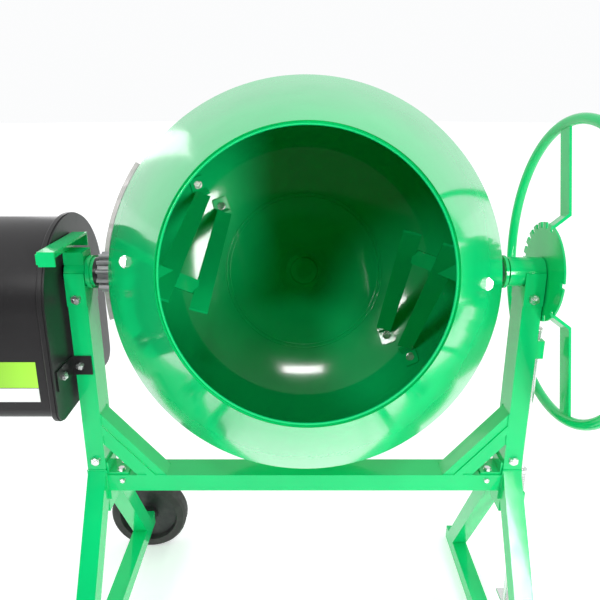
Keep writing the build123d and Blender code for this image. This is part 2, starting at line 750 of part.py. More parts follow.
def motor_pulley():
    """Motor shaft with its small belt pulley."""
    half = BELT_W / 2 + BELT_GAP
    at = (MOTOR_Y, MOTOR_Z)
    solid = rod((-543, *at), (BELT_X + half + 3, *at), MOTOR_PULLEY_R)
    solid += rod((BELT_X - half - 3, *at), (BELT_X - half, *at), MOTOR_PULLEY_R + 5)
    solid += rod((BELT_X + half, *at), (BELT_X + half + 3, *at), MOTOR_PULLEY_R + 5)
    return solid


def drive_belt():
    """Belt round the two pulleys."""
    plane = Plane.YZ.offset(BELT_X - BELT_W / 2)
    loops = []
    for lift in (BELT_GAP + BELT_T, BELT_GAP):
        small = Pos(MOTOR_Y, MOTOR_Z) * Circle(MOTOR_PULLEY_R + lift)
        loops.append(extrude(plane * make_hull((Circle(PULLEY_R + lift) + small).edges()), BELT_W))
    return loops[0] - loops[1]


def drive_motor():
    """Motor can with cooling ribs, its end shield, its mounting plate and four spacers."""
    at = (MOTOR_Y, MOTOR_Z)
    body = rod((MOTOR_BACK_X, *at), (MOTOR_FRONT_X, *at), MOTOR_R - 6)
    for k in range(MOTOR_RIBS):
        rib = box(MOTOR_BACK_X + 12, MOTOR_FRONT_X - 12, -1.5, 1.5, MOTOR_R - 8, MOTOR_R)
        body += Pos(0, *at) * (Rot(360 / MOTOR_RIBS * k, 0, 0) * rib)
    body += box(MOTOR_FRONT_X, MOTOR_FRONT_X + 4, -100, 160, -250, -120)
    for y in (MOTOR_Y - 55, MOTOR_Y + 55):
        for z in (MOTOR_Z - 55, MOTOR_Z + 55):
            body += rod((MOTOR_FRONT_X + 4, y, z), (CASE_FACE_X, y, z), 6)
    bore = rod((MOTOR_FRONT_X - 8, *at), (MOTOR_FRONT_X + 5, *at), MOTOR_PULLEY_R + 0.5)
    return body - bore


def run_capacitor():
    """Run capacitor on the motor's plate."""
    return rod((MOTOR_FRONT_X - 95, -65, -205), (MOTOR_FRONT_X, -65, -205), 21)


# Motor housing ------------------------------------------------------------------------------------


def case_outline(inset):
    """The housing's outline in the YZ plane: round top, straight sides, flat base."""
    half = CASE_HALF - inset
    bottom = CASE_BOTTOM + inset
    sides = Pos(CASE_Y, (CASE_ARC_Z + bottom) / 2) * Rectangle(2 * half, CASE_ARC_Z - bottom)
    base_corners = sides.vertices().sort_by(Axis.Y)[:2]
    sides = fillet(base_corners, CASE_CORNER - inset)
    return sides + Pos(CASE_Y, CASE_ARC_Z) * Circle(half)


def case_block(inset, start_x, end_x):
    """The housing's outline drawn out along -X."""
    return extrude(Plane.YZ.offset(start_x) * case_outline(inset), amount=end_x - start_x)


def motor_cover():
    """Outer housing shell: fat rim, drawn body, vent slots in its end."""
    rim = case_block(0, CASE_FACE_X, CASE_FACE_X - CASE_RIM)
    rim = fillet(rim.faces().sort_by(Axis.X)[0].edges(), 4)
    body = case_block(CASE_STEP, CASE_FACE_X - CASE_RIM, CASE_END_X)
    body = fillet(body.faces().sort_by(Axis.X)[0].edges(), 24)
    hollow = case_block(CASE_STEP + CASE_WALL, CASE_FACE_X, CASE_END_X + CASE_WALL)
    hollow = fillet(hollow.faces().sort_by(Axis.X)[0].edges(), 21)
    cover = rim + body - hollow
    for k in range(7):
        z = -90 - 18 * k
        slot = Plane.YZ.offset(CASE_END_X - 5) * (Pos(CASE_Y + 40, z) * SlotOverall(90, 7))
        cover -= extrude(slot, 12)
    return cover


def housing_back_plate():
    """Flat inner shell of the housing, beside the post."""
    plate = case_block(2, CASE_FACE_X + 4, CASE_FACE_X)
    plate -= bolt_hole((CASE_FACE_X + 7, CLAMP_BOLT_Y, CLAMP_BOLT_Z), (1, 0, 0), 20, 4)
    return plate - rod((-500, 0, 0), (-480, 0, 0), 24)


def hanger_bracket():
    """Channel over the left bearing that the housing hangs from."""
    channel = box(-486, -455, -127, 43, 46, 74) - box(-482, -455, -123, 39, 46, 70)
    foot = box(-484, -444, -22, 22, 0, 46) - rod((-500, 0, 0), (-400, 0, 0), BEARING_TUBE_R)
    lug = box(CASE_FACE_X + 4, -486, -127, 43, 50, 70)
    return channel + foot + lug


def clamp_strap():
    """Black angle that holds the housing's back plate to the post's front."""
    front = -POST_D / 2
    low, high = CLAMP_BOLT_Z - CLAMP_HALF, CLAMP_BOLT_Z + CLAMP_HALF
    plate_x = CASE_FACE_X + 4
    strap = box(plate_x, -446, front - 4, front, low, high)
    strap += box(plate_x, plate_x + 3, CLAMP_REACH_Y, front, low, high)
    strap -= bolt_hole((CLAMP_BOLT_X, front - 4, CLAMP_BOLT_Z), (0, -1, 0), 20, 4)
    return strap - bolt_hole((plate_x + 3, CLAMP_BOLT_Y, CLAMP_BOLT_Z), (1, 0, 0), 20, 4)


def switch_box():
    """Switch case on the housing's front, with two button pockets."""
    front = CASE_Y - CASE_HALF + CASE_STEP
    body = box(-704, -630, front - 30, front, -122, -22)
    body = fillet(body.edges().filter_by(Axis.Y), 10)
    for z in (-48, -92):
        body -= rod((-667, front - 32, z), (-667, front - 14, z), 12)
    return body


def push_button(z):
    """A round push button in its pocket."""
    front = CASE_Y - CASE_HALF + CASE_STEP
    body = rod((-667, front - 38, z), (-667, front - 20, z), 11.6)
    return fillet(body.edges().sort_by(Axis.Y)[:1], 2)


def power_inlet():
    """Three-pin inlet under the switch case, for a lead that isn't part of the mixer."""
    front = CASE_Y - CASE_HALF + CASE_STEP
    y = front - 15
    shell = ring((-667, y, -160), (-667, y, -122), 14.5, 12)
    shell += rod((-667, y, -130), (-667, y, -122), 12.5)
    for k in range(3):
        t = 2 * math.pi * k / 3 + math.pi / 2
        x, dy = -667 + 6 * math.cos(t), y + 6 * math.sin(t)
        shell += rod((x, dy, -152), (x, dy, -129), 2)
    return shell


def rating_label():
    """Thin plate on the housing's front."""
    front = CASE_Y - CASE_HALF + CASE_STEP
    return box(-624, -524, front - 0.6, front, -236, -150)


# Stand --------------------------------------------------------------------------------------------


def post(side):
    """Upright tube, closed at the top."""
    length = POST_TOP - POST_BOTTOM
    tube = Pos(side * POST_X, 0, POST_TOP - length / 2) * hollow_bar(length, POST_W, POST_D, TUBE_WALL)
    half = POST_W / 2
    lid = box(side * POST_X - half, side * POST_X + half, -POST_D / 2, POST_D / 2, POST_TOP - 4, POST_TOP)
    return cut_post_holes(tube + lid, side)


def cut_post_holes(shape, side):
    """Every bolt hole that passes through a post."""
    front = -POST_D / 2
    for z in (BEARING_BOLT_Z, POST_BOLT_Z):
        shape -= rod((side * POST_X, front - 10, z), (side * POST_X, -front + 10, z), 5 + HOLE_PLAY)
    if side < 0:
        shape -= bolt_hole((CLAMP_BOLT_X, front - 4, CLAMP_BOLT_Z), (0, -1, 0), 14, 4)
    return shape


def cross_beam():
    """Beam between the posts, with its end plates."""
    z0, z1 = BEAM_TOP - BEAM_H, BEAM_TOP
    reach = POST_X - POST_W / 2
    beam = Pos(0, 0, (z0 + z1) / 2) * (Rot(0, 90, 0) * hollow_bar(2 * reach, BEAM_H, POST_D, TUBE_WALL))
    for side in (-1, 1):
        x0, x1 = sorted((side * reach, side * (reach - 6)))
        beam += box(x0, x1, -POST_D / 2, POST_D / 2, z0 - 22, z1)
        for y in BEAM_BOLT_YS:
            beam -= bolt_hole((side * BEAM_BOLT_X, y, z1 + 6), (0, 0, 1), 14, 4)
        beam -= bolt_hole((side * BEAM_SCREW[0], -POST_D / 2, BEAM_SCREW[1]), (0, -1, 0), 2 * TUBE_WALL, 3)
    return beam


def brace(side):
    """Pressed channel between a post and the beam, open at the back, with a ridge along its face."""
    post_face = POST_X - POST_W / 2
    high, foot_out, foot_in = -313, 309, 374
    run = Vector(foot_out - post_face, BEAM_TOP - high).normalized()
    normal = Vector(run.Y, -run.X)
    depth = abs((Vector(foot_in, BEAM_TOP) - Vector(foot_out, BEAM_TOP)).dot(normal))
    if normal.X < 0:
        normal = normal * -1

    def slab(start, end, y0, y1):
        """The strip between two offsets from the brace's upper edge."""
        origin = Vector(post_face, high)
        a = origin + normal * start - run * 60
        b = origin + normal * start + run * 300
        c = origin + normal * end + run * 300
        d = origin + normal * end - run * 60
        outline = Polyline(*[(p.X, p.Y) for p in (a, b, c, d)], close=True)
        face = Plane.XZ.offset(-y1) * make_face(outline)
        return extrude(face, y1 - y0)

    solid = slab(0, depth, -28, 14) - slab(TUBE_WALL, depth - TUBE_WALL, -28 + TUBE_WALL, 15)
    solid += slab(depth * 0.36, depth * 0.64, -31, -28)
    solid &= box(200, post_face, -40, 40, BEAM_TOP, 0)
    return solid if side > 0 else mirror(solid, Plane.YZ)


def corner_bracket(side):
    """Angle between a post and the beam."""
    reach = POST_X - POST_W / 2
    x0, x1 = sorted((side * reach, side * (reach - 5)))
    angle = box(x0, x1, -26, 26, BEAM_TOP, BEAM_TOP + 30)
    x0, x1 = sorted((side * reach, side * (reach - 48)))
    angle += box(x0, x1, -26, 26, BEAM_TOP, BEAM_TOP + 5)
    for y in BEAM_BOLT_YS:
        angle -= bolt_hole((side * BEAM_BOLT_X, y, BEAM_TOP + 6), (0, 0, 1), 14, 4)
    return angle - brace_envelope(side)


def brace_envelope(side):
    """Space that a brace takes above the beam."""
    return box(*sorted((side * 300, side * 386)), -32, 15, BEAM_TOP, BEAM_TOP + 6)


def leg(side, foot_z):
    """Front leg: a square tube from the post's face to foot_z."""
    angle = math.degrees(math.atan(LEG_SLOPE))
    slanted = Rot(-angle, 0, 0) * hollow_bar(1400, LEG_SIDE, LEG_SIDE, TUBE_WALL)
    placed = Pos(side * POST_X, -POST_D / 2, LEG_START_Z) * slanted
    limit = box(side * POST_X - 40, side * POST_X + 40, -700, -POST_D / 2, foot_z, 0)
    return placed & limit


def axle_beam():
    """Square tube between the left legs, closed at its ends, which carries the wheels' axle."""
    z = -TILT_HEIGHT + WHEEL_R
    tube = hollow_bar(2 * AXLE_BEAM_HALF, LEG_SIDE, LEG_SIDE, TUBE_WALL)
    beam = Pos(-POST_X, 0, z) * (Rot(90, 0, 0) * tube)
    half = LEG_SIDE / 2
    for y0, y1 in ((-AXLE_BEAM_HALF, -AXLE_BEAM_HALF + 5), (AXLE_BEAM_HALF - 5, AXLE_BEAM_HALF)):
        beam += box(-POST_X - half, -POST_X + half, y0, y1, z - half, z + half)
    return beam - rod((-POST_X, -700, z), (-POST_X, 700, z), WHEEL_AXLE_R)


def foot_bar():
    """Square tube on the floor between the right legs, with closed ends."""
    half = LEG_SIDE / 2
    z = -TILT_HEIGHT + half
    tube = hollow_bar(2 * FOOT_BAR_HALF, LEG_SIDE, LEG_SIDE, TUBE_WALL)
    bar = Pos(POST_X, 0, z) * (Rot(90, 0, 0) * tube)
    for y0, y1 in ((-FOOT_BAR_HALF, -FOOT_BAR_HALF + 4), (FOOT_BAR_HALF - 4, FOOT_BAR_HALF)):
        bar += box(POST_X - half, POST_X + half, y0, y1, z - half, z + half)
    return bar


def wheel_axle():
    """Axle right through the axle beam, with a collar inside each wheel."""
    z = -TILT_HEIGHT + WHEEL_R
    reach = AXLE_BEAM_HALF + WHEEL_W + 14
    return rod((-POST_X, -reach, z), (-POST_X, reach, z), WHEEL_AXLE_R)


def transport_wheel(side):
    """Moulded wheel with a tread, a web and a hub."""
    half = WHEEL_W / 2
    outline = [
        (WHEEL_AXLE_R + RUNNING, -half),
        (24, -half),
        (26, -8),
        (80, -8),
        (84, -half),
        (WHEEL_R - 6, -half),
        (WHEEL_R, -half + 8),
        (WHEEL_R, half - 8),
        (WHEEL_R - 6, half),
        (84, half),
        (80, 8),
        (26, 8),
        (24, half),
        (WHEEL_AXLE_R + RUNNING, half),
    ]
    wheel = Rot(90, 0, 0) * turned(outline)
    return Pos(-POST_X, side * (AXLE_BEAM_HALF + 2 + half), -TILT_HEIGHT + WHEEL_R) * wheel


def bearing_housing(side):
    """Tube on top of a post that holds a trunnion's bush, with a cheek on each face of the post."""
    outer = POST_X + POST_W / 2 + 1
    inner = 442 if side < 0 else 412
    tube = ring((side * outer, 0, 0), (side * inner, 0, 0), BEARING_TUBE_R, BUSH_R)
    half = POST_W / 2
    for y0, y1 in ((-POST_D / 2 - 4, -POST_D / 2), (POST_D / 2, POST_D / 2 + 4)):
        tube += box(side * POST_X - half, side * POST_X + half, y0, y1, -64, 5)
    z = BEARING_BOLT_Z
    tube += box(side * POST_X - half, side * POST_X + half, -POST_D / 2, POST_D / 2, POST_TOP, -24)
    tube -= rod((side * 380, 0, 0), (side * 520, 0, 0), BUSH_R)
    return tube - rod((side * POST_X, -60, z), (side * POST_X, 60, z), 5 + HOLE_PLAY)


def trunnion_bushes():
    """Plain bushes in the two bearing housings."""
    outer = POST_X + POST_W / 2 + 1
    return [
        ring((-outer, 0, 0), (-442, 0, 0), BUSH_R, TRUNNION_R + RUNNING),
        ring((412, 0, 0), (outer, 0, 0), BUSH_R, TRUNNION_R + RUNNING),
    ]


def lock_guides():
    """Two guide blocks for the lock rod on the right post's outer face."""
    face = POST_X + POST_W / 2
    guides = []
    for z0, z1 in LOCK_GUIDE_ZS:
        block = box(face, LOCK_ROD_X + 10, -12, 12, z0, z1)
        guides.append(block - rod((LOCK_ROD_X, 0, z0 - 1), (LOCK_ROD_X, 0, z1 + 1), LOCK_ROD_R + RUNNING))
    return guides


def lock_rod():
    """Lock rod with its tongue under the disc, spring collar and foot pedal."""
    top = -DISC_R - LOCK_GAP
    tongue = box(DISC_X - 3, DISC_X + 3, -4.5, 4.5, -134, top)
    tongue += box(DISC_X - 3, LOCK_ROD_X + 5, -4.5, 4.5, -134, -122)
    body = rod((LOCK_ROD_X, 0, -850), (LOCK_ROD_X, 0, -128), LOCK_ROD_R) + tongue
    collar = SPRING_BOTTOM + SPRING_LENGTH
    body += rod((LOCK_ROD_X, 0, collar), (LOCK_ROD_X, 0, collar + 6), 12)
    body += box(LOCK_ROD_X - 8, LOCK_ROD_X + PEDAL_REACH, -PEDAL_HALF, PEDAL_HALF, -856, -850)
    return body


def lock_spring():
    """Compression spring between the lower guide and the rod's collar."""
    height = SPRING_LENGTH - 2 * SPRING_WIRE_R - 0.4
    path = Helix(height / SPRING_TURNS, height, SPRING_R)
    section = Plane(origin=path @ 0, z_dir=path % 0) * Circle(SPRING_WIRE_R)
    coil = sweep(section, path, is_frenet=True)
    return Pos(LOCK_ROD_X, 0, SPRING_BOTTOM + SPRING_WIRE_R + 0.2) * coil


def frame_bolts():
    """Bolts of the stand, the bearings, the clamp strap and the axle's end caps."""
    bolts = []
    front = -POST_D / 2
    for side in (-1, 1):
        x = side * POST_X
        bolts.append(bolt((x, front - 4, BEARING_BOLT_Z), (0, -1, 0), POST_D + 8, 5))
        bolts.append(bolt((x, front, POST_BOLT_Z), (0, -1, 0), POST_D, 5))
        for y in BEAM_BOLT_YS:
            bolts.append(bolt((side * BEAM_BOLT_X, y, BEAM_TOP + 5), (0, 0, 1), 5 + TUBE_WALL, 4))
        screw = (side * BEAM_SCREW[0], front, BEAM_SCREW[1])
        bolts.append(bolt(screw, (0, -1, 0), TUBE_WALL, 3, nut=False))
    bolts.append(bolt((CLAMP_BOLT_X, front - 4, CLAMP_BOLT_Z), (0, -1, 0), 4 + TUBE_WALL, 4))
    bolts.append(bolt((CASE_FACE_X + 7, CLAMP_BOLT_Y, CLAMP_BOLT_Z), (1, 0, 0), 7, 4))
    z = -TILT_HEIGHT + WHEEL_R
    for side in (-1, 1):
        start = side * (AXLE_BEAM_HALF + WHEEL_W + 5)
        cap = rod((-POST_X, start, z), (-POST_X, start + side * 12, z), 18)
        bolts.append(cap - rod((-POST_X, -700, z), (-POST_X, 700, z), WHEEL_AXLE_R))
    return bolts


# Assembly -----------------------------------------------------------------------------------------

TILTING = {
    "drum_cone": drum_cone(),
    "drum_bowl": drum_bowl(),
    "crown_gear": crown_gear(),
    "drum_hub": drum_hub(),
    "drum_bearings": drum_bearings(),
    "hub_cap": hub_cap(),
    "blade_right": mixing_blade(0),
    "blade_left": mixing_blade(180),
    "drum_bolts": drum_bolts(),
    "yoke_arm_left": yoke_arm(ARM_LEFT_X, ARM_LEFT_THICK),
    "yoke_arm_right": yoke_arm(ARM_RIGHT_X, ARM_RIGHT_THICK),
    "yoke_crossbar": yoke_crossbar(),
    "drum_axle": drum_axle(),
    "trunnion_left": trunnion_left(),
    "trunnion_right": trunnion_right(),
    "pinion_bearing": pinion_bearing(),
    "gear_guard": gear_guard(),
    "hand_wheel_rim": hand_wheel_rim(),
    "hand_wheel_spokes": hand_wheel_spokes(),
    "yoke_fasteners": yoke_fasteners(),
    "drive_pinion": drive_pinion(),
}

LEVEL = {
    "lock_disc": lock_disc(),
    "pinion_shaft": pinion_shaft(),
    "driven_pulley": driven_pulley(),
    "motor_pulley": motor_pulley(),
    "drive_belt": drive_belt(),
    "drive_motor": drive_motor(),
    "run_capacitor": run_capacitor(),
    "motor_cover": motor_cover(),
    "housing_back_plate": housing_back_plate(),
    "hanger_bracket": hanger_bracket(),
    "clamp_strap": clamp_strap(),
    "switch_box": switch_box(),
    "start_button": push_button(-48),
    "stop_button": push_button(-92),
    "power_inlet": power_inlet(),
    "rating_label": rating_label(),
    "post_left": post(-1),
    "post_right": post(1),
    "cross_beam": cross_beam(),
    "brace_left": brace(-1),
    "brace_right": brace(1),
    "corner_brackets": [corner_bracket(-1), corner_bracket(1)],
    "leg_front_left": leg(-1, LEFT_FOOT_Z),
    "leg_rear_left": mirror(leg(-1, LEFT_FOOT_Z), Plane.XZ),
    "leg_front_right": leg(1, RIGHT_FOOT_Z),
    "leg_rear_right": mirror(leg(1, RIGHT_FOOT_Z), Plane.XZ),
    "axle_beam": axle_beam(),
    "foot_bar": foot_bar(),
    "wheel_axle": wheel_axle(),
    "wheel_front": transport_wheel(-1),
    "wheel_rear": transport_wheel(1),
    "bearing_housing_left": bearing_housing(-1),
    "bearing_housing_right": bearing_housing(1),
    "trunnion_bushes": trunnion_bushes(),
    "lock_guides": lock_guides(),
    "lock_rod": lock_rod(),
    "lock_spring": lock_spring(),
    "frame_bolts": frame_bolts(),
}


def gathered(shape):
    """One compound of a node's solids."""
    shapes = shape if isinstance(shape, list) else [shape]
    return Compound(children=[solid for part in shapes for solid in part.solids()])


nodes = {name: TILTED * gathered(shape) for name, shape in TILTING.items()}
nodes.update({name: gathered(shape) for name, shape in LEVEL.items()})

whole = Compound(children=[node.moved(Location((0, 0, 0))) for node in nodes.values()]).bounding_box()
ORIGIN_X = (whole.min.X + whole.max.X) / 2
ORIGIN_Y = (whole.min.Y + whole.max.Y) / 2
PLACED = Pos(-ORIGIN_X, -ORIGIN_Y, TILT_HEIGHT)

for name, node in nodes.items():
    export_step(PLACED * node, f"parts/{name}.step")

print("tilt axis passes through", round(-ORIGIN_X, 3), round(-ORIGIN_Y, 3), TILT_HEIGHT)
print("size", whole.size)
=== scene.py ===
"""Looks of a tilting-drum concrete mixer, laid out as an add-on and run as a script.

Metres, +Z up, the drum's mouth towards -Y. Pieces of the drum are drawn in the drum's own frame, in
which Z is the drum's axis, positive towards the mouth, and are then turned to their place at rest.
"""

import json
import math

import bmesh
import bpy
from bpy.props import FloatProperty, FloatVectorProperty, IntProperty, PointerProperty
from mathutils import Matrix, Vector
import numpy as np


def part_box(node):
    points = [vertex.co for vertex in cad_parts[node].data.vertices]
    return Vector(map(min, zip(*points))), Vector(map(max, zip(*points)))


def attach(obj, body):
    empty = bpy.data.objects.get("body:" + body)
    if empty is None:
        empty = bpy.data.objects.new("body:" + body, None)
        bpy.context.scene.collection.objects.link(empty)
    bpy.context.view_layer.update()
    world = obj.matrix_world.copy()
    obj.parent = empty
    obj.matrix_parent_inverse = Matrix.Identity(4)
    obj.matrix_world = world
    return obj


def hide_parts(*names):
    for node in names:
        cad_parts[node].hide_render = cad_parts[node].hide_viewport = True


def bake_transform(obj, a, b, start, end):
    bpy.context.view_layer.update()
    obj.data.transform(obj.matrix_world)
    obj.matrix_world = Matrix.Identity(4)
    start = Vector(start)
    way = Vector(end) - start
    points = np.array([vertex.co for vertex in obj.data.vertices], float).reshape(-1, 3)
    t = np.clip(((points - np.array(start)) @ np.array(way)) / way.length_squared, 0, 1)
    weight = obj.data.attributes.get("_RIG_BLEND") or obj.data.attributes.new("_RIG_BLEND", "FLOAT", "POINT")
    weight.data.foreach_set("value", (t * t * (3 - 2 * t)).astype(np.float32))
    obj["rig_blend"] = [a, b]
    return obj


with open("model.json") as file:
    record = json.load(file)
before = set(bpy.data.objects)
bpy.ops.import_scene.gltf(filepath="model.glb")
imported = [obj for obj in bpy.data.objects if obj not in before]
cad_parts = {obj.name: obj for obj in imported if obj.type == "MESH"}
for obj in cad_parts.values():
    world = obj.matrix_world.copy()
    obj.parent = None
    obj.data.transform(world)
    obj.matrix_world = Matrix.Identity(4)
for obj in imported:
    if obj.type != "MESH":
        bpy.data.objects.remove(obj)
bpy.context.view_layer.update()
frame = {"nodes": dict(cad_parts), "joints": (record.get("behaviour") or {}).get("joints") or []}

bl_info = {
    "name": "Concrete mixer",
    "version": (1, 0, 0),
    "blender": (4, 5, 0),
    "location": "3D View > Sidebar > Mixer",
    "description": "Builds the visible pieces and finishes of a tilting-drum concrete mixer",
    "category": "Object",
}

RIM_R = 0.083  # where a wheel's rubber meets its plastic
CAMERA_PITCH = 16.49  # degrees below the horizontal
CAMERA_PLACE = (-0.0103, -1.1247, 0.3338)


def middle(node):
    """Centre of a CAD node's box."""
    low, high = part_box(node)
    return (low + high) / 2


SHAFT = middle("pinion_shaft")
POST_LEFT = middle("post_left")
POST_RIGHT = middle("post_right")
TILT_CENTRE = Vector(((POST_LEFT.x + POST_RIGHT.x) / 2, SHAFT.y, SHAFT.z))
DRUM_AXIS = Vector(next(j["axis"] for j in frame["joints"] if j["name"] == "drum_spin"))
DRUM_RISE = math.asin(DRUM_AXIS.z)
LEVEL_PLACE = Matrix.Translation(TILT_CENTRE)
DRUM_PLACE = LEVEL_PLACE @ Matrix.Rotation(math.pi / 2 - DRUM_RISE, 4, "X")


# Sizes and colours that a user would change -------------------------------------------------------


def length(name, description, default):
    """A length setting in metres."""
    return FloatProperty(
        name=name, description=description, default=default, min=0.0, unit="LENGTH"
    )


def power(name, description, default):
    """A lamp's power in watts."""
    return FloatProperty(name=name, description=description, default=default, unit="POWER")


def share(name, description, default):
    """A setting from 0 to 1."""
    return FloatProperty(
        name=name, description=description, default=default, min=0.0, max=1.0, subtype="FACTOR"
    )


def colour(name, description, default):
    """A colour setting."""
    return FloatVectorProperty(
        name=name, description=description, default=default, size=3, min=0.0, max=1.0,
        subtype="COLOR",
    )


class MixerFinishSettings(bpy.types.PropertyGroup):
    """Colours and gloss of the mixer's materials."""

    enamel: colour("Enamel", "Green of the stand, yoke and drum", (0.004, 0.58, 0.17))
    enamel_gloss: share("Enamel roughness", "Roughness of the green enamel", 0.1)
    orange_peel: length("Orange peel", "Width of the ripples in the enamel", 0.0028)
    moulding: colour("Moulding", "Black of the motor housing", (0.014, 0.013, 0.014))
    guard: colour("Guard", "Grey of the crown gear's guard", (0.56, 0.52, 0.52))
    casting: colour("Casting", "Grey of the cast gears and the motor", (0.34, 0.34, 0.35))
    zinc: colour("Zinc", "Plating of the bolts", (0.78, 0.79, 0.80))
    label: colour("Label", "Upper field of the label", (0.36, 0.78, 0.05))


class MixerDrumSettings(bpy.types.PropertyGroup):
    """Sizes of the drum's shells."""

    mouth: length("Mouth radius", "Inside radius of the mouth", 0.205)
    bead: length("Bead radius", "Radius of the rolled rim", 0.0035)
    belly: length("Belly radius", "Outside radius of the belly", 0.374)
    knuckle: length("Knuckle", "Radius where the belly turns into the base", 0.11)
    sheet: length("Sheet", "Thickness of the drum's sheet", 0.003)
    segments: IntProperty(name="Segments", description="Faces round the drum", default=256, min=24)


class MixerDetailSettings(bpy.types.PropertyGroup):
    """Sizes of the small repeated pieces."""

    weld: length("Weld radius", "Half the width of a weld bead", 0.0024)
    ripple: length("Weld ripple", "Distance between a weld's ripples", 0.0034)
    lugs: IntProperty(
        name="Tread lugs", description="Lugs in each row of a tyre", default=34, min=6
    )
    spring_turns: FloatProperty(
        name="Spring turns", description="Turns of the pedal's spring", default=8.0
    )


class MixerStageSettings(bpy.types.PropertyGroup):
    """Floor, lights and camera."""

    floor: colour("Floor", "Colour of the studio floor", (0.92, 0.925, 0.93))
    surround: FloatProperty(
        name="Backdrop", description="Brightness of the white backdrop", default=1.0
    )
    front: FloatProperty(
        name="Room", description="Brightness of the room before the mouth", default=0.0
    )
    right: power("Right light", "Power of the right softbox", 40.0)
    left: power("Left light", "Power of the left softbox", 14.0)
    top: power("Top light", "Power of the top softbox", 9.0)
    back: power("Back light", "Power of the rear strip light", 1.5)
    lens: FloatProperty(
        name="Lens", description="Focal length on a 36 mm sensor", default=34.3, unit="CAMERA"
    )


# Shader maths -------------------------------------------------------------------------------------


class Wire:
    """A value in a material's nodes, so that shader maths reads as an expression."""

    def __init__(self, finish, socket):
        self.finish = finish
        self.socket = socket

    def maths(self, operation, first, second):
        return self.finish.add("ShaderNodeMath", {"operation": operation}, {0: first, 1: second})

    def __add__(self, other):
        return self.maths("ADD", self, other)

    __radd__ = __add__

    def __sub__(self, other):
        return self.maths("SUBTRACT", self, other)

    def __rsub__(self, other):
        return self.maths("SUBTRACT", other, self)

    def __mul__(self, other):
        return self.maths("MULTIPLY", self, other)

    __rmul__ = __mul__

    def __truediv__(self, other):
        return self.maths("DIVIDE", self, other)

    def __gt__(self, other):
        return self.maths("GREATER_THAN", self, other)

    def __lt__(self, other):
        return self.maths("LESS_THAN", self, other)


class Finish:
    """A material under construction."""

    def __init__(self, name, **constants):
        self.material = bpy.data.materials.new(name)
        self.material.use_nodes = True
        self.tree = self.material.node_tree
        self.shader = self.tree.nodes["Principled BSDF"]
        for socket, value in constants.items():
            label = socket.replace("_", " ").title().replace("Ior", "IOR")
            self.shader.inputs[label].default_value = value

    def add(self, kind, settings=None, inputs=None, output=0):
        """Adds a node: its settings are set first, then its sockets' values and links."""
        node = self.tree.nodes.new(kind)
        for key, value in (settings or {}).items():
            if key == "stops":
                self.set_stops(node.color_ramp, value)
            else:
                setattr(node, key, value)
        for key, value in (inputs or {}).items():
            if isinstance(value, Wire):
                self.tree.links.new(value.socket, node.inputs[key])
            else:
                node.inputs[key].default_value = value
        return Wire(self, node.outputs[output])

    def set_stops(self, ramp, stops):
        """Sets a colour ramp's stops, each (place, grey)."""
        while len(ramp.elements) < len(stops):
            ramp.elements.new(0.5)
        for element, (place, grey) in zip(ramp.elements, stops):
            element.position = place
            element.color = (grey, grey, grey, 1.0)

    def place(self):
        """The point on the piece, in metres."""
        return self.add("ShaderNodeTexCoord", output="Object")

    def moved(self, centre, turn=(0.0, 0.0, 0.0), scale=(1.0, 1.0, 1.0)):
        """The point on the piece, seen from a centre and turned."""
        settings = {"vector_type": "TEXTURE"}
        inputs = {"Vector": self.place(), "Location": centre, "Rotation": turn, "Scale": scale}
        return self.add("ShaderNodeMapping", settings, inputs)

    def parts(self, vector):
        """A vector's three numbers."""
        return [self.add("ShaderNodeSeparateXYZ", inputs={0: vector}, output=k) for k in range(3)]

    def noise(self, size, detail=2.0, rough=0.5, vector=None):
        """Soft noise with lumps of a size in metres."""
        inputs = {"Vector": vector or self.place(), "Scale": 1.0 / size}
        inputs |= {"Detail": detail, "Roughness": rough}
        return self.add("ShaderNodeTexNoise", inputs=inputs)

    def patches(self, size, detail, low, high, rough=0.5):
        """Soft noise as patches: 0 up to a low value of the noise and 1 from a high one."""
        return self.ramp(self.noise(size, detail, rough), (low, 0.0), (high, 1.0))

    def cells(self, size, output="Distance", feature="F1"):
        """Voronoi cells of a size in metres."""
        inputs = {"Vector": self.place(), "Scale": 1.0 / size}
        return self.add("ShaderNodeTexVoronoi", {"feature": feature}, inputs, output)

    def ramp(self, value, *stops):
        """A value passed through a grey ramp."""
        return self.add("ShaderNodeValToRGB", {"stops": stops}, {0: value})

    def blend(self, factor, first, second):
        """Two colours mixed by a factor."""
        first = first if isinstance(first, Wire) else (*first, 1.0)
        second = second if isinstance(second, Wire) else (*second, 1.0)
        return self.add("ShaderNodeMix", {"data_type": "RGBA"}, {0: factor, 6: first, 7: second}, 2)

    def bump(self, height, depth, strength=1.0, under=None):
        """Bumps of a depth in metres, over other bumps if under is given."""
        inputs = {"Height": height, "Distance": depth, "Strength": strength}
        if under:
            inputs["Normal"] = under
        return self.add("ShaderNodeBump", inputs=inputs)

    def surface(self, tone, rough, height, depth):
        """Feeds the shader with a colour, a roughness and one layer of bumps."""
        return self.feed(base_color=tone, roughness=rough, normal=self.bump(height, depth))

    def feed(self, **sockets):
        """Links what varies over the surface to the shader."""
        for socket, value in sockets.items():
            self.tree.links.new(value.socket, self.shader.inputs[socket.replace("_", " ").title()])
        return self.material


def tinted(base, factor):
    """A colour made lighter or darker."""
    return tuple(min(1.0, channel * factor) for channel in base)


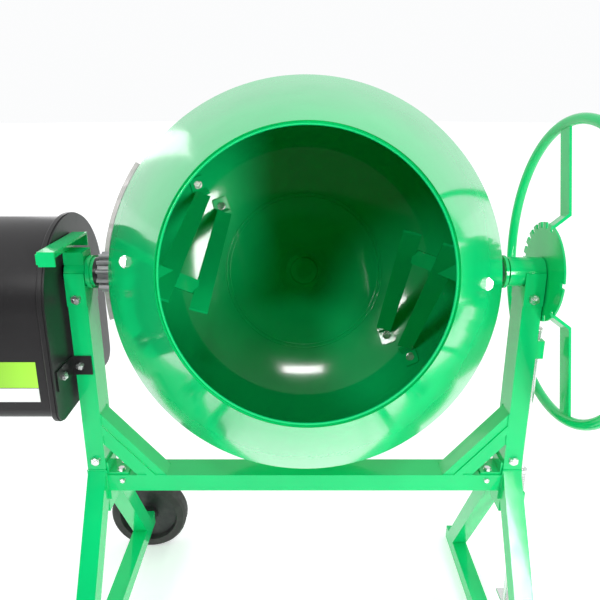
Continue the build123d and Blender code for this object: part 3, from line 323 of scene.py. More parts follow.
def enamel_finish(name, settings, dusty):
    """Glossy green enamel with orange peel, faint clouding and smudges."""
    finish = Finish(name, coat_roughness=0.03, ior=1.36)
    base = tuple(settings.enamel)
    clouds = finish.patches(0.16, 3.0, 0.3, 0.7)
    specks = finish.patches(0.0035, 1.0, 0.72, 0.8)
    tone = finish.blend(clouds, tinted(base, 0.93), tinted(base, 1.06))
    tone = finish.blend(specks * 0.25, tone, tinted(base, 0.6))
    smudges = finish.patches(0.05, 5.0, 0.45, 0.75, 0.65)
    roughness = smudges * (0.03 + 0.08 * dusty) + settings.enamel_gloss
    peel = finish.noise(settings.orange_peel, 1.0)
    ripple = finish.noise(0.03, 1.0)
    normal = finish.bump(peel, 0.000006, under=finish.bump(ripple, 0.00003))
    coat = 0.14 - smudges * 0.08
    return finish.feed(base_color=tone, roughness=roughness, coat_weight=coat, normal=normal)


def moulded_finish(name, base, grain, roughness):
    """Moulded plastic with a fine leather grain and faint scuffs."""
    finish = Finish(name, ior=1.47)
    pits = finish.cells(grain)
    scuffs = finish.patches(0.012, 6.0, 0.55, 0.8, 0.7)
    clouds = finish.noise(0.09, 2.0)
    tone = finish.blend(scuffs * 0.35, base, tinted(base, 2.1))
    tone = finish.blend(clouds * 0.3, tone, tinted(base, 1.5))
    normal = finish.bump(pits, 0.00008, 0.8, under=finish.bump(clouds, 0.0004))
    return finish.feed(base_color=tone, roughness=scuffs * 0.14 + roughness, normal=normal)


def cast_finish(name, base, roughness):
    """Sand-cast metal under a thin plating."""
    finish = Finish(name, metallic=0.85, ior=2.2)
    lumps = finish.noise(0.0022, 4.0, 0.7)
    stains = finish.patches(0.02, 4.0, 0.4, 0.75)
    tone = finish.blend(stains * 0.6, tinted(base, 1.08), tinted(base, 0.62))
    return finish.surface(tone, roughness + lumps * 0.22, lumps, 0.00022)


def turned_finish(name, base, roughness, centre, across):
    """Turned or drawn metal with fine lines round or along it."""
    finish = Finish(name, metallic=1.0)
    stretch = tuple(1.0 if line else 22.0 for line in across)
    lines = finish.noise(0.0012, 3.0, 0.6, finish.moved(centre, scale=stretch))
    stains = finish.patches(0.015, 4.0, 0.5, 0.8)
    tone = finish.blend(stains * 0.5, base, tinted(base, 0.7))
    return finish.surface(tone, lines * 0.18 + roughness, lines, 0.00003)


def zinc_finish(settings):
    """Bright zinc with a faint yellow and blue bloom."""
    finish = Finish("Bright zinc", metallic=1.0)
    red, green, blue = settings.zinc
    bloom = finish.noise(0.006, 3.0)
    grain = finish.noise(0.0007, 2.0)
    yellow, cold = (red, green * 0.97, blue * 0.86), (red * 0.9, green * 0.95, blue)
    tone = finish.blend(bloom, yellow, cold)
    return finish.surface(tone, grain * 0.2 + 0.16, grain, 0.00002)


def guard_finish(settings):
    """Galvanised sheet with spangle."""
    finish = Finish("Galvanised sheet", metallic=0.35)
    base = tuple(settings.guard)
    spangle = finish.cells(0.009, "Color")
    level = finish.parts(spangle)[0]
    tone = finish.blend(level, tinted(base, 0.86), tinted(base, 1.1))
    edge = finish.noise(0.02, 4.0)
    return finish.surface(tone, level * 0.2 + 0.32 + edge * 0.1, level, 0.00003)


def rubber_finish(name, base):
    """Dull rubber with dust in its grain."""
    finish = Finish(name, ior=1.5)
    grain = finish.noise(0.0009, 3.0)
    dust = finish.patches(0.03, 5.0, 0.45, 0.8, 0.7)
    tone = finish.blend(dust * 0.4, base, (0.10, 0.10, 0.095))
    return finish.surface(tone, 0.62 + dust * 0.25, grain, 0.00012)


def wheel_finish():
    """A wheel in one moulding: rubber outside the rim, plastic inside it."""
    finish = Finish("Wheel moulding", ior=1.5)
    front = middle("wheel_front")
    x, _, z = finish.parts(finish.moved((front.x, front.y, front.z)))
    reach = finish.add("ShaderNodeMath", {"operation": "SQRT"}, {0: x * x + z * z})
    rubber = reach > RIM_R
    grain = finish.noise(0.001, 3.0)
    dust = finish.patches(0.03, 5.0, 0.45, 0.8, 0.7)
    tone = finish.blend(rubber, (0.016, 0.016, 0.017), (0.028, 0.027, 0.026))
    tone = finish.blend(dust * 0.35, tone, (0.11, 0.11, 0.10))
    return finish.surface(tone, rubber * 0.3 + 0.36 + dust * 0.12, grain, 0.00012)


def label_finish(settings):
    """Printed film in two plain fields: bright green-yellow over white, with a fine dark rule."""
    finish = Finish("Printed film", roughness=0.3, coat_weight=0.4)
    low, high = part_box("rating_label")
    x, _, z = finish.parts(finish.place())
    up = (z - low.z) / (high.z - low.z)
    along = (x - low.x) / (high.x - low.x)
    upper = up > 0.36
    shade = finish.blend(along, tinted(settings.label, 0.78), tinted(settings.label, 1.15))
    tone = finish.blend(upper, (0.84, 0.86, 0.84), shade)
    rule = (up > 0.345) * (up < 0.36)
    tone = finish.blend(rule, tone, (0.02, 0.03, 0.02))
    grain = finish.noise(0.0006, 2.0)
    tone = finish.blend(grain * 0.05, tone, (0.2, 0.2, 0.2))
    return finish.surface(tone, grain * 0.1 + 0.24, grain, 0.00001)


def gloss_finish(name, base):
    """Smooth moulded plastic, such as a button's."""
    finish = Finish(name, coat_weight=0.3, ior=1.49)
    clouds = finish.noise(0.004, 3.0)
    tone = finish.blend(clouds * 0.4, base, tinted(base, 0.7))
    return finish.surface(tone, clouds * 0.15 + 0.2, clouds, 0.00005)


FINISHES = {}


def wear(piece, finish):
    """Gives a piece one finish in all its material slots."""
    piece.data.materials.clear()
    piece.data.materials.append(FINISHES[finish])


# Mesh code ----------------------------------------------------------------------------------------


def new_piece(name, mesh, body, finish, crease=0.6):
    """Puts a finished mesh in the scene as a piece that rides on a body."""
    mesh.name = name
    mesh.shade_smooth()
    mesh.set_sharp_from_angle(angle=crease)
    piece = bpy.data.objects.new(name, mesh)
    bpy.context.scene.collection.objects.link(piece)
    wear(piece, finish)
    if body:
        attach(piece, body)
    return piece


def source_object(name, points, edges, faces, place):
    """An object of points, edges or faces in a frame, for a tree to work on."""
    mesh = bpy.data.meshes.new(name)
    mesh.from_pydata(points, edges, faces)
    source = bpy.data.objects.new(name, mesh)
    bpy.context.scene.collection.objects.link(source)
    source.matrix_world = place
    return source


def fillet(corners):
    """A closed outline of (radius, station) points from corners that each carry a rounding."""
    points = []
    count = len(corners)
    for k in range(count):
        before, here, after = (Vector(corners[(k + d) % count][:2]) for d in (-1, 0, 1))
        rounding = corners[k][2]
        if rounding == 0:
            points.append(here)
            continue
        back, on = (before - here).normalized(), (after - here).normalized()
        half = math.acos(max(-1.0, min(1.0, back.dot(on)))) / 2
        room = 0.49 * min((before - here).length, (after - here).length)
        reach = min(rounding / math.tan(half), room)
        radius = reach * math.tan(half)
        centre = here + (back + on).normalized() * (radius / math.sin(half))
        start, end = here + back * reach - centre, here + on * reach - centre
        sweep = start.angle_signed(end)
        steps = max(3, int(abs(sweep) / 0.16))
        turns = (Matrix.Rotation(-sweep * s / steps, 2) for s in range(steps + 1))
        points += [centre + turn @ start for turn in turns]
    return points


def outline_object(name, outline, place):
    """A closed line of edges in the XZ plane of a frame."""
    count = len(outline)
    edges = [(k, (k + 1) % count) for k in range(count)]
    return source_object(name, [(p[0], 0.0, p[1]) for p in outline], edges, [], place)


# Geometry Nodes -----------------------------------------------------------------------------------


class Tree:
    """A Geometry Nodes tree under construction, with its named inputs."""

    def __init__(self, name, **inputs):
        self.group = bpy.data.node_groups.new(name, "GeometryNodeTree")
        face = self.group.interface
        face.new_socket("Geometry", in_out="INPUT", socket_type="NodeSocketGeometry")
        for label, (kind, default) in inputs.items():
            socket = face.new_socket(label.capitalize(), in_out="INPUT", socket_type=kind)
            socket.default_value = default
        face.new_socket("Geometry", in_out="OUTPUT", socket_type="NodeSocketGeometry")
        self.inlet = self.group.nodes.new("NodeGroupInput")
        self.outlet = self.group.nodes.new("NodeGroupOutput")

    def given(self, label):
        """One of the tree's inputs."""
        return self.inlet.outputs[label]

    def add(self, kind, settings=None, inputs=None, output=0):
        """Adds a node and returns one of its outputs."""
        node = self.group.nodes.new(kind)
        for key, value in (settings or {}).items():
            setattr(node, key, value)
        for key, value in (inputs or {}).items():
            if isinstance(value, bpy.types.NodeSocket):
                self.group.links.new(value, node.inputs[key])
            else:
                node.inputs[key].default_value = value
        return node.outputs[output]

    def geo(self, kind, settings=None, inputs=None, output=0):
        """Adds a geometry node."""
        return self.add("GeometryNode" + kind, settings, inputs, output)

    def maths(self, operation, first, second=0.0):
        return self.add("ShaderNodeMath", {"operation": operation}, {0: first, 1: second})

    def times(self, first, second):
        return self.maths("MULTIPLY", first, second)

    def joined(self, *parts):
        """Several geometries as one."""
        node = self.group.nodes.new("GeometryNodeJoinGeometry")
        for part in parts:
            self.group.links.new(part, node.inputs[0])
        return node.outputs[0]

    def end(self, geometry, material):
        """Realizes the instances and sets the material."""
        solid = self.add("GeometryNodeRealizeInstances", inputs={"Geometry": geometry})
        made = self.add("GeometryNodeSetMaterial", inputs={"Geometry": solid, "Material": material})
        self.group.links.new(made, self.outlet.inputs[0])
        return self.group


def grown(source, tree, name, body, finish, slot, crease=0.6, **values):
    """Runs a tree on a source object and keeps the result as a plain piece in the shared frame."""
    modifier = source.modifiers.new(tree.name, "NODES")
    modifier.node_group = tree
    sockets = {s.name: s.identifier for s in tree.interface.items_tree if s.in_out == "INPUT"}
    for label, value in values.items():
        modifier[sockets[label.capitalize()]] = value
    graph = bpy.context.evaluated_depsgraph_get()
    mesh = bpy.data.meshes.new_from_object(source.evaluated_get(graph))
    mesh.transform(source.matrix_world)
    bpy.data.objects.remove(source)
    shape = bmesh.new()
    shape.from_mesh(mesh)
    bmesh.ops.remove_doubles(shape, verts=shape.verts, dist=1e-6)
    bmesh.ops.recalc_face_normals(shape, faces=shape.faces)
    shape.to_mesh(mesh)
    shape.free()
    if not mesh.polygons:
        raise RuntimeError(f"{name} came out empty")
    return new_piece(name, mesh, body, finish, crease)


def shell_tree(material):
    """Turns an outline round the frame's Z axis."""
    tree = Tree("Turned shell", segments=("NodeSocketInt", 128))
    line = tree.geo("MeshToCurve", inputs={"Mesh": tree.given("Geometry")})
    profile = tree.geo(
        "Transform", inputs={"Geometry": line, "Rotation": (math.pi / 2, 0.0, 0.0)}
    )
    path = tree.geo(
        "CurvePrimitiveCircle",
        inputs={"Resolution": tree.given("Segments"), "Radius": 1e-6},
    )
    shell = tree.geo("CurveToMesh", inputs={"Curve": path, "Profile Curve": profile})
    return tree.end(shell, material)


def hexagon_prism(tree, radius, height, chamfer):
    """A hexagonal head with its outer edge turned down."""
    base = tree.geo("MeshCircle", {"fill_type": "NGON"}, {"Vertices": 6, "Radius": radius})
    side = tree.maths("SUBTRACT", height, chamfer)
    body = tree.geo(
        "ExtrudeMesh", inputs={"Mesh": base, "Offset Scale": side, "Individual": False}
    )
    body_top = body.node.outputs["Top"]
    cap = tree.geo(
        "ExtrudeMesh",
        inputs={"Mesh": body, "Selection": body_top, "Offset Scale": chamfer, "Individual": False},
    )
    cap_top = cap.node.outputs["Top"]
    return tree.geo(
        "ScaleElements", inputs={"Geometry": cap, "Selection": cap_top, "Scale": 0.86}
    )


def disc_prism(tree, radius, height, start, sides=24):
    """A washer or a round end, from a start along Z."""
    base = tree.geo(
        "MeshCircle", {"fill_type": "NGON"}, {"Vertices": sides, "Radius": radius}
    )
    body = tree.geo(
        "ExtrudeMesh", inputs={"Mesh": base, "Offset Scale": height, "Individual": False}
    )
    lift = tree.add("ShaderNodeCombineXYZ", inputs={2: start})
    return tree.geo("Transform", inputs={"Geometry": body, "Translation": lift})


BOLT_DATA = (("outward", "FLOAT_VECTOR"), ("radius", "FLOAT"), ("grip", "FLOAT"))


def bolt_tree(material):
    """Hexagon bolts on points that carry an outward direction, a thread radius and a grip."""
    tree = Tree(
        "Hexagon bolts",
        across=("NodeSocketFloat", 1.96),
        head=("NodeSocketFloat", 1.3),
        washer=("NodeSocketFloat", 2.15),
        nut=("NodeSocketFloat", 1.6),
    )
    outward, radius, grip = (
        tree.geo("InputNamedAttribute", {"data_type": kind}, {"Name": name})
        for name, kind in BOLT_DATA
    )
    turn = tree.add("FunctionNodeAlignRotationToVector", {"axis": "Z"}, {"Vector": outward})
    sizes = tree.add("ShaderNodeCombineXYZ", inputs={0: radius, 1: radius, 2: radius})

    def placed(points, shape):
        return tree.geo(
            "InstanceOnPoints",
            inputs={"Points": points, "Instance": shape, "Rotation": turn, "Scale": sizes},
        )

    washer = disc_prism(tree, tree.given("Washer"), 0.28, 0.0)
    head = hexagon_prism(tree, tree.given("Across"), tree.given("Head"), 0.22)
    head = tree.geo("Transform", inputs={"Geometry": head, "Translation": (0.0, 0.0, 0.2)})
    heads = placed(tree.given("Geometry"), tree.joined(washer, head))

    greater = {"data_type": "FLOAT", "operation": "GREATER_THAN"}
    nutted = tree.add("FunctionNodeCompare", greater, {0: grip, 1: 0.0})
    back = tree.add(
        "ShaderNodeVectorMath", {"operation": "SCALE"}, {0: outward, 3: tree.times(grip, -1.0)}
    )
    ends = tree.geo(
        "SeparateGeometry", {"domain": "POINT"}, {0: tree.given("Geometry"), 1: nutted}
    )
    ends = tree.geo("SetPosition", inputs={"Geometry": ends, "Offset": back})
    over = tree.geo("Transform", inputs={
        "Geometry": hexagon_prism(tree, tree.given("Across"), tree.given("Nut"), 0.22),
        "Rotation": (math.pi, 0.0, 0.3),
    })
    thread = tree.geo("Transform", inputs={
        "Geometry": disc_prism(tree, 1.0, 2.1, 0.0, 16), "Rotation": (math.pi, 0.0, 0.0),
    })
    nuts = placed(ends, tree.joined(over, thread))
    return tree.end(tree.joined(heads, nuts), material)


def weld_tree(material):
    """Rippled weld beads along lines of edges."""
    tree = Tree(
        "Weld beads", bead=("NodeSocketFloat", 0.0024), ripple=("NodeSocketFloat", 0.0034)
    )
    line = tree.geo("MeshToCurve", inputs={"Mesh": tree.given("Geometry")})
    step = tree.maths("DIVIDE", tree.given("Ripple"), 4.0)
    fine = tree.geo("ResampleCurve", {"mode": "LENGTH"}, {"Curve": line, "Length": step})
    along = tree.geo("SplineParameter", output=1)
    phase = tree.times(tree.maths("DIVIDE", along, tree.given("Ripple")), 2 * math.pi)
    swell = tree.maths("ADD", tree.times(tree.maths("SINE", phase), 0.14), 1.0)
    seed = tree.geo("InputPosition")
    wander = tree.add(
        "ShaderNodeTexNoise", {"noise_dimensions": "3D"}, {"Vector": seed, "Scale": 120.0}
    )
    swell = tree.maths("ADD", swell, tree.times(tree.maths("SUBTRACT", wander, 0.5), 0.5))
    width = tree.times(swell, tree.given("Bead"))
    thick = tree.geo("SetCurveRadius", inputs={"Curve": fine, "Radius": width})
    ring = tree.geo("CurvePrimitiveCircle", inputs={"Resolution": 6, "Radius": 1.0})
    bead = tree.geo(
        "CurveToMesh",
        inputs={"Curve": thick, "Profile Curve": ring, "Scale": width, "Fill Caps": True},
    )
    return tree.end(bead, material)


def tread_tree(material):
    """Two staggered rows of lugs round a wheel, whose axle is the frame's Z axis."""
    tree = Tree(
        "Tread lugs",
        lugs=("NodeSocketInt", 34),
        radius=("NodeSocketFloat", 0.11),
        width=("NodeSocketFloat", 0.046),
        depth=("NodeSocketFloat", 0.002),
    )
    count, radius, width = tree.given("Lugs"), tree.given("Radius"), tree.given("Width")
    rows = []
    for side in (-1, 1):
        line = tree.geo(
            "MeshLine", {"mode": "OFFSET"}, {"Count": count, "Offset": (0.0, 0.0, 0.0)}
        )
        index = tree.geo("InputIndex")
        place = tree.maths("ADD", index, 0.5 if side > 0 else 0.0)
        turn = tree.maths("DIVIDE", tree.times(place, 2 * math.pi), count)
        at = tree.add("ShaderNodeCombineXYZ", inputs={
            0: tree.times(tree.maths("COSINE", turn), radius),
            1: tree.times(tree.maths("SINE", turn), radius),
            2: tree.times(width, side * 0.17),
        })
        points = tree.geo("SetPosition", inputs={"Geometry": line, "Position": at})
        outline = tree.geo("CurvePrimitiveQuadrilateral", inputs={
            "Width": 0.009, "Height": tree.times(width, 0.24),
        })
        rounded = tree.geo(
            "FilletCurve", {"mode": "POLY"}, {"Curve": outline, "Radius": 0.0018, 1: 2}
        )
        face = tree.geo("FillCurve", {"mode": "NGONS"}, {"Curve": rounded})
        lug = tree.geo("ExtrudeMesh", inputs={
            "Mesh": face, "Offset Scale": tree.times(tree.given("Depth"), 2.0), "Individual": False,
        })
        lug = tree.geo("Transform", inputs={
            "Geometry": lug, "Rotation": (math.pi / 2, side * 0.35, math.pi / 2),
        })
        spin = tree.add("ShaderNodeCombineXYZ", inputs={2: turn})
        rows.append(tree.geo("InstanceOnPoints", inputs={
            "Points": points, "Instance": lug, "Rotation": spin,
        }))
    return tree.end(tree.joined(*rows), material)


def coil_tree(material):
    """A compression spring along the frame's Z axis."""
    tree = Tree(
        "Coil spring",
        turns=("NodeSocketFloat", 8.0),
        radius=("NodeSocketFloat", 0.0095),
        wire=("NodeSocketFloat", 0.0013),
        height=("NodeSocketFloat", 0.049),
    )
    path = tree.geo("CurveSpiral", inputs={
        "Resolution": 28, "Rotations": tree.given("Turns"), "Start Radius": tree.given("Radius"),
        "End Radius": tree.given("Radius"), "Height": tree.given("Height"),
    })
    ring = tree.geo(
        "CurvePrimitiveCircle", inputs={"Resolution": 10, "Radius": tree.given("Wire")}
    )
    wire = tree.geo(
        "CurveToMesh", inputs={"Curve": path, "Profile Curve": ring, "Fill Caps": True}
    )
    return tree.end(wire, material)


# Places on the mixer ------------------------------------------------------------------------------

MOUTH_A = 0.386
BELLY_FRONT_A = 0.091
SEAM_A = -0.054
SEAM_R = 0.390
KNUCKLE_A = -0.1632
DISH_SLOPE = 24
BASE_SLOPE = 12
HUB_DISC_R = 0.2002
BASE_A = -0.299
HUB_MOUTH_R = 0.028
CAP_R = 0.064
CONE_BOLT_A = 0.221
CONE_BOLT_ANGLES = (-3.5, 176.5)
FEET = ((-39, -0.237), (-38, -0.277))
FOOT_STAND = 0.008
HUB_BOLT_R = 0.054
CROWN_BOLT_R = 0.382
RING_RADII = (0.190, 0.1985)
BEAD_GAP = 1.45  # radians of the rolled rim left open, where it meets the cone
HEAD_GAP = 0.0002
BEAM_FACES = ((-1, -0.358, 0.058), (1, -0.359, 0.057))  # side, front and grip
POST_BOLT_Z = (-0.048, -0.427)
BEAM_BOLT_X, BEAM_BOLT_Y = 0.412, 0.016
BEAM_SCREW = (0.407, -0.478)
HANGER_BOLT_Z = -0.195
PLATE = 0.004
AHEAD, BEHIND, UP = Vector((0, -1, 0)), Vector((0, 0, -1)), Vector((0, 0, 1))


def polar(radius, angle, station):
    """The point at a radius, an angle in degrees and a station along the drum's axis."""
    turn = math.radians(angle)
    return Vector((radius * math.cos(turn), radius * math.sin(turn), station))


def cone_angle(drum):
    """Slope of the drum's cone."""
    return math.atan((drum.belly - drum.mouth - drum.bead) / (MOUTH_A - BELLY_FRONT_A))


def bowl_arcs(drum, inset):
    """The arcs of the bowl's edge and of its dish, each (centre, radius, first turn, last turn)."""
    slope, flat = math.radians(DISH_SLOPE), math.radians(BASE_SLOPE)
    round_centre = Vector((drum.belly - drum.knuckle, KNUCKLE_A))
    joint = round_centre + drum.knuckle * Vector((math.sin(slope), -math.cos(slope)))
    dish = (joint.x - HUB_DISC_R) / (math.sin(slope) - math.sin(flat))
    dish_centre = joint - dish * Vector((math.sin(slope), -math.cos(slope)))
    return (
        (round_centre, drum.knuckle - inset, math.pi / 2, slope),
        (dish_centre, dish - inset, slope, flat),
    )


def bowl_wall(drum, inset):
    """The bowl's wall from the belly to the base, inset from its outside."""
    steps = 40
    points = []
    for centre, size, first, last in bowl_arcs(drum, inset):
        for k in range(steps + 1):
            turn = first + (last - first) * k / steps
            points.append(centre + size * Vector((math.sin(turn), -math.cos(turn))))
    return points


def cone_bolt(drum, angle):
    """Where a blade's front bolt meets the cone, and its outward direction."""
    slope = cone_angle(drum)
    radius = drum.belly - math.tan(slope) * (CONE_BOLT_A - BELLY_FRONT_A)
    return polar(radius, angle, CONE_BOLT_A), polar(math.cos(slope), angle, math.sin(slope))


def bowl_bolt(drum, foot, turn):
    """Where a blade's foot bolt meets the inside of the bowl, and its inward direction."""
    angle, station = foot
    for centre, size, first, last in bowl_arcs(drum, drum.sheet):
        if station >= centre.y - size * math.cos(last):
            lean = math.acos((centre.y - station) / size)
            break
    radius = centre.x + size * math.sin(lean)
    angle += turn
    return polar(radius, angle, station), polar(-math.sin(lean), angle, math.cos(lean))


def drum_bolts(drum):
    """Every bolt of the drum, as (seat, outward, thread radius, grip)."""
    bolts = []
    for angle in CONE_BOLT_ANGLES:
        seat, out = cone_bolt(drum, angle)
        bolts.append((seat + out * HEAD_GAP, out, 0.005, 0.0094))
    for turn in (0, 180):
        for foot in FEET:
            seat, inward = bowl_bolt(drum, foot, turn)
            bolts.append((seat + inward * FOOT_STAND, inward, 0.005, FOOT_STAND + drum.sheet))
    for quarter in range(4):
        for part in (0.1, 0.37, 0.63, 0.9):
            seat = polar(CROWN_BOLT_R, 90 * (quarter + part), SEAM_A - drum.sheet)
            bolts.append((seat, BEHIND, 0.003, 0.0))
    for k in range(6):
        seat = polar(HUB_BOLT_R, 60 * k + 30, BASE_A - 0.008)
        bolts.append((seat, BEHIND, 0.004, 0.0))
    return bolts


def yoke_bolts():
    """The bolts through the yoke's crossbar, in the drum's frame."""
    bolts = []
    for side, front, grip in BEAM_FACES:
        for x in (0.205, 0.240):
            bolts.append((Vector((side * x, 0, front)), UP, 0.005, grip))
    return bolts


def stand_bolts():
    """The stand's bolts, in the level frame round the tilt axis."""
    bolts = []
    half = (POST_RIGHT.x - POST_LEFT.x) / 2
    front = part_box("post_left")[0].y - TILT_CENTRE.y
    depth = -2 * front
    beam_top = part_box("cross_beam")[1].z - TILT_CENTRE.z
    upper, lower = POST_BOLT_Z
    screw_x, screw_z = BEAM_SCREW
    for side in (-1, 1):
        x = side * half
        bolts.append((Vector((x, front - PLATE, upper)), AHEAD, 0.005, depth + 2 * PLATE))
        bolts.append((Vector((x, front, lower)), AHEAD, 0.005, depth))
        for y in (-BEAM_BOLT_Y, BEAM_BOLT_Y):
            seat = Vector((side * BEAM_BOLT_X, y, beam_top + 0.005))
            bolts.append((seat, UP, 0.004, 0.008))
        bolts.append((Vector((side * screw_x, front, screw_z)), AHEAD, 0.003, 0.0))
    bolts.append((Vector((-0.470, front - PLATE, HANGER_BOLT_Z)), AHEAD, 0.004, 0.007))
    bolts.append((Vector((-0.486, -0.080, HANGER_BOLT_Z)), Vector((1, 0, 0)), 0.004, 0.007))
    return bolts


def bolt_points(name, bolts, place):
    """Points that carry what the bolts' tree reads."""
    source = source_object(name, [b[0] for b in bolts], [], [], place)
    given = source.data.attributes
    for label, kind in BOLT_DATA:
        given.new(label, kind, "POINT")
    # Known fault: "outward" stays zero, so a bolt stands along its frame's Z axis and a nut stays
    # inside its head. Filling it from each bolt's second value would turn them.
    for k, (_, _, size, depth) in enumerate(bolts):
        given["radius"].data[k].value = size
        given["grip"].data[k].value = depth
    return source


def loop(centre, normal, radius, count=40, start=0.0, sweep=360.0):
    """Points of a circle or an arc round a normal."""
    turn = Vector(normal).to_track_quat("Z", "Y")
    steps = count if sweep == 360.0 else count + 1
    angles = [math.radians(start + sweep * k / count) for k in range(steps)]
    arms = [Vector((math.cos(a) * radius, math.sin(a) * radius, 0)) for a in angles]
    points = [Vector(centre) + turn @ arm for arm in arms]
    return points + [points[0]] if sweep == 360.0 else points


def line_object(name, lines, place):
    """Separate lines of edges in a frame."""
    points, edges = [], []
    for line in lines:
        first = len(points)
        points += [tuple(p) for p in line]
        edges += [(first + k, first + k + 1) for k in range(len(line) - 1)]
    return source_object(name, points, edges, [], place)


# Operators ----------------------------------------------------------------------------------------


class MIXER_OT_finishes(bpy.types.Operator):
    """Makes the materials and paints every piece of the frame"""

    bl_idname = "mixer.finishes"
    bl_label = "Paint the frame"

    def execute(self, context):
        settings = context.scene.mixer_finish
        black = tuple(settings.moulding)
        turned = tuple(SHAFT), (0, 1, 1)
        made = {
            "enamel": enamel_finish("Green enamel", settings, 1.0),
            "drum enamel": enamel_finish("Drum enamel", settings, 0.2),
            "casting": cast_finish("Grey casting", tuple(settings.casting), 0.38),
            "moulding": moulded_finish("Black moulding", black, 0.0016, 0.34),
            "black paint": moulded_finish("Black paint", tinted(black, 0.9), 0.0009, 0.28),
            "guard": guard_finish(settings),
            "steel": turned_finish("Turned steel", (0.52, 0.53, 0.55), 0.24, *turned),
            "bronze": turned_finish("Bronze bush", (0.5, 0.33, 0.12), 0.3, *turned),
            "zinc": zinc_finish(settings),
            "rubber": rubber_finish("Belt rubber", (0.018, 0.018, 0.018)),
            "wheel": wheel_finish(),
            "label": label_finish(settings),
            "capacitor": gloss_finish("Capacitor can", (0.66, 0.66, 0.62)),
            "green button": gloss_finish("Green button", (0.01, 0.36, 0.07)),
            "red button": gloss_finish("Red button", (0.55, 0.012, 0.012)),
        }
        FINISHES.update(made)
        by_slot = {
            "green_paint": "enamel", "cast_grey": "casting", "zinc": "zinc", "steel": "steel",
            "guard_grey": "guard", "black_plastic": "moulding", "black_paint": "black paint",
            "bronze": "bronze", "belt_rubber": "rubber", "label": "label",
            "button_green": "green button", "button_red": "red button",
            "capacitor_grey": "capacitor",
        }
        own = {
            "drum_cone": "drum enamel", "drum_bowl": "drum enamel", "hub_cap": "drum enamel",
            "blade_left": "drum enamel", "blade_right": "drum enamel",
            "wheel_front": "wheel", "wheel_rear": "wheel",
        }
        for name, piece in frame["nodes"].items():
            slots = [m.name for m in piece.data.materials]
            for k, slot in enumerate(slots):
                piece.data.materials[k] = FINISHES[own.get(name) or by_slot[slot]]
        return {"FINISHED"}


class MIXER_OT_drum(bpy.types.Operator):
    """Turns the drum's two shells and its hub dome"""

    bl_idname = "mixer.drum"
    bl_label = "Turn the drum"

    def execute(self, context):
        drum = context.scene.mixer_drum
        tree = shell_tree(FINISHES["drum enamel"])
        for name, node, outline in (
            ("drum_front_shell", "drum_cone", self.front(drum)),
            ("drum_rear_shell", "drum_bowl", self.rear(drum)),
            ("drum_hub_dome", "hub_cap", self.dome(drum)),
        ):
            source = outline_object(name, outline, DRUM_PLACE)
            piece = grown(
                source, tree, name, "drum", "drum enamel", "green_paint", 0.75,
                segments=drum.segments,
            )
            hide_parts(node)
        return {"FINISHED"}

    def front(self, drum):
        """Outline of the cone with its rolled rim and seam flange."""
        slope = cone_angle(drum)
        rim = drum.mouth + drum.bead
        inner_rim = rim - drum.sheet / math.cos(slope)
        inner_slope_a = BELLY_FRONT_A - drum.sheet * math.tan(slope / 2)
        corners = [
            (drum.belly, BELLY_FRONT_A, 0.02),
            (drum.belly, SEAM_A + drum.sheet, 0.003),
            (SEAM_R, SEAM_A + drum.sheet, 0.001),
            (SEAM_R, SEAM_A, 0),
            (drum.belly - drum.sheet, SEAM_A, 0),
            (drum.belly - drum.sheet, inner_slope_a, 0.017),
        ]
        outline = fillet([(inner_rim, MOUTH_A, 0)] + [(rim, MOUTH_A, 0)] + corners)[2:]
        bead = []
        steps = 28
        sweep = 2 * math.pi - BEAD_GAP
        for k in range(steps + 1):
            turn = slope - sweep + sweep * k / steps
            reach = Vector((math.cos(turn), math.sin(turn)))
            bead.append(Vector((rim, MOUTH_A)) + drum.bead * reach)
        return bead + outline

    def rear(self, drum):
        """Outline of the bowl with its seam flange and the rings pressed in its base."""
        back = SEAM_A - drum.sheet
        floor = BASE_A + drum.sheet
        outline = [Vector((SEAM_R, SEAM_A)), Vector((SEAM_R, back)), Vector((drum.belly, back))]
        outline += bowl_wall(drum, 0.0)
        outline += [Vector((HUB_MOUTH_R, BASE_A)), Vector((HUB_MOUTH_R, floor))]
        steps = 8
        for radius in RING_RADII:
            for k in range(steps + 1):
                turn = math.pi * (1 - k / steps)
                reach = Vector((0.0016 * math.cos(turn), 0.0011 * math.sin(turn)))
                outline.append(Vector((radius, floor)) + reach)
        outline += reversed(bowl_wall(drum, drum.sheet))
        return outline + [Vector((drum.belly - drum.sheet, SEAM_A))]

    def dome(self, drum):
        """Outline of the pressed dome over the axle's nut."""
        floor = BASE_A + drum.sheet
        return fillet([
            (CAP_R, floor, 0), (CAP_R, floor + 0.002, 0.0008), (0.044, floor + 0.002, 0.006),
            (0.036, floor + 0.012, 0.005), (0.031, floor + 0.034, 0.005),
            (0.02, floor + 0.0385, 0.012), (0.0, floor + 0.039, 0), (0.0, floor + 0.0365, 0),
            (0.025, floor + 0.0345, 0.004), (0.028, floor + 0.032, 0.003),
            (0.033, floor + 0.010, 0.004), (0.035, floor, 0),
        ])


class MIXER_OT_bolts(bpy.types.Operator):
    """Fits the hexagon bolts, washers and nuts of the drum, the yoke and the stand"""

    bl_idname = "mixer.bolts"
    bl_label = "Fit the bolts"

    def execute(self, context):
        tree = bolt_tree(FINISHES["zinc"])
        drum = context.scene.mixer_drum
        for name, node, body, bolts, place in (
            ("drum_fixings", "drum_bolts", "drum", drum_bolts(drum), DRUM_PLACE),
            ("yoke_fixings", None, "yoke", yoke_bolts(), DRUM_PLACE),
            ("stand_fixings", None, "stand", stand_bolts(), LEVEL_PLACE),
        ):
            piece = grown(bolt_points(name, bolts, place), tree, name, body, "zinc", "zinc", 0.5)
            if node:
                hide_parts(node)
        return {"FINISHED"}


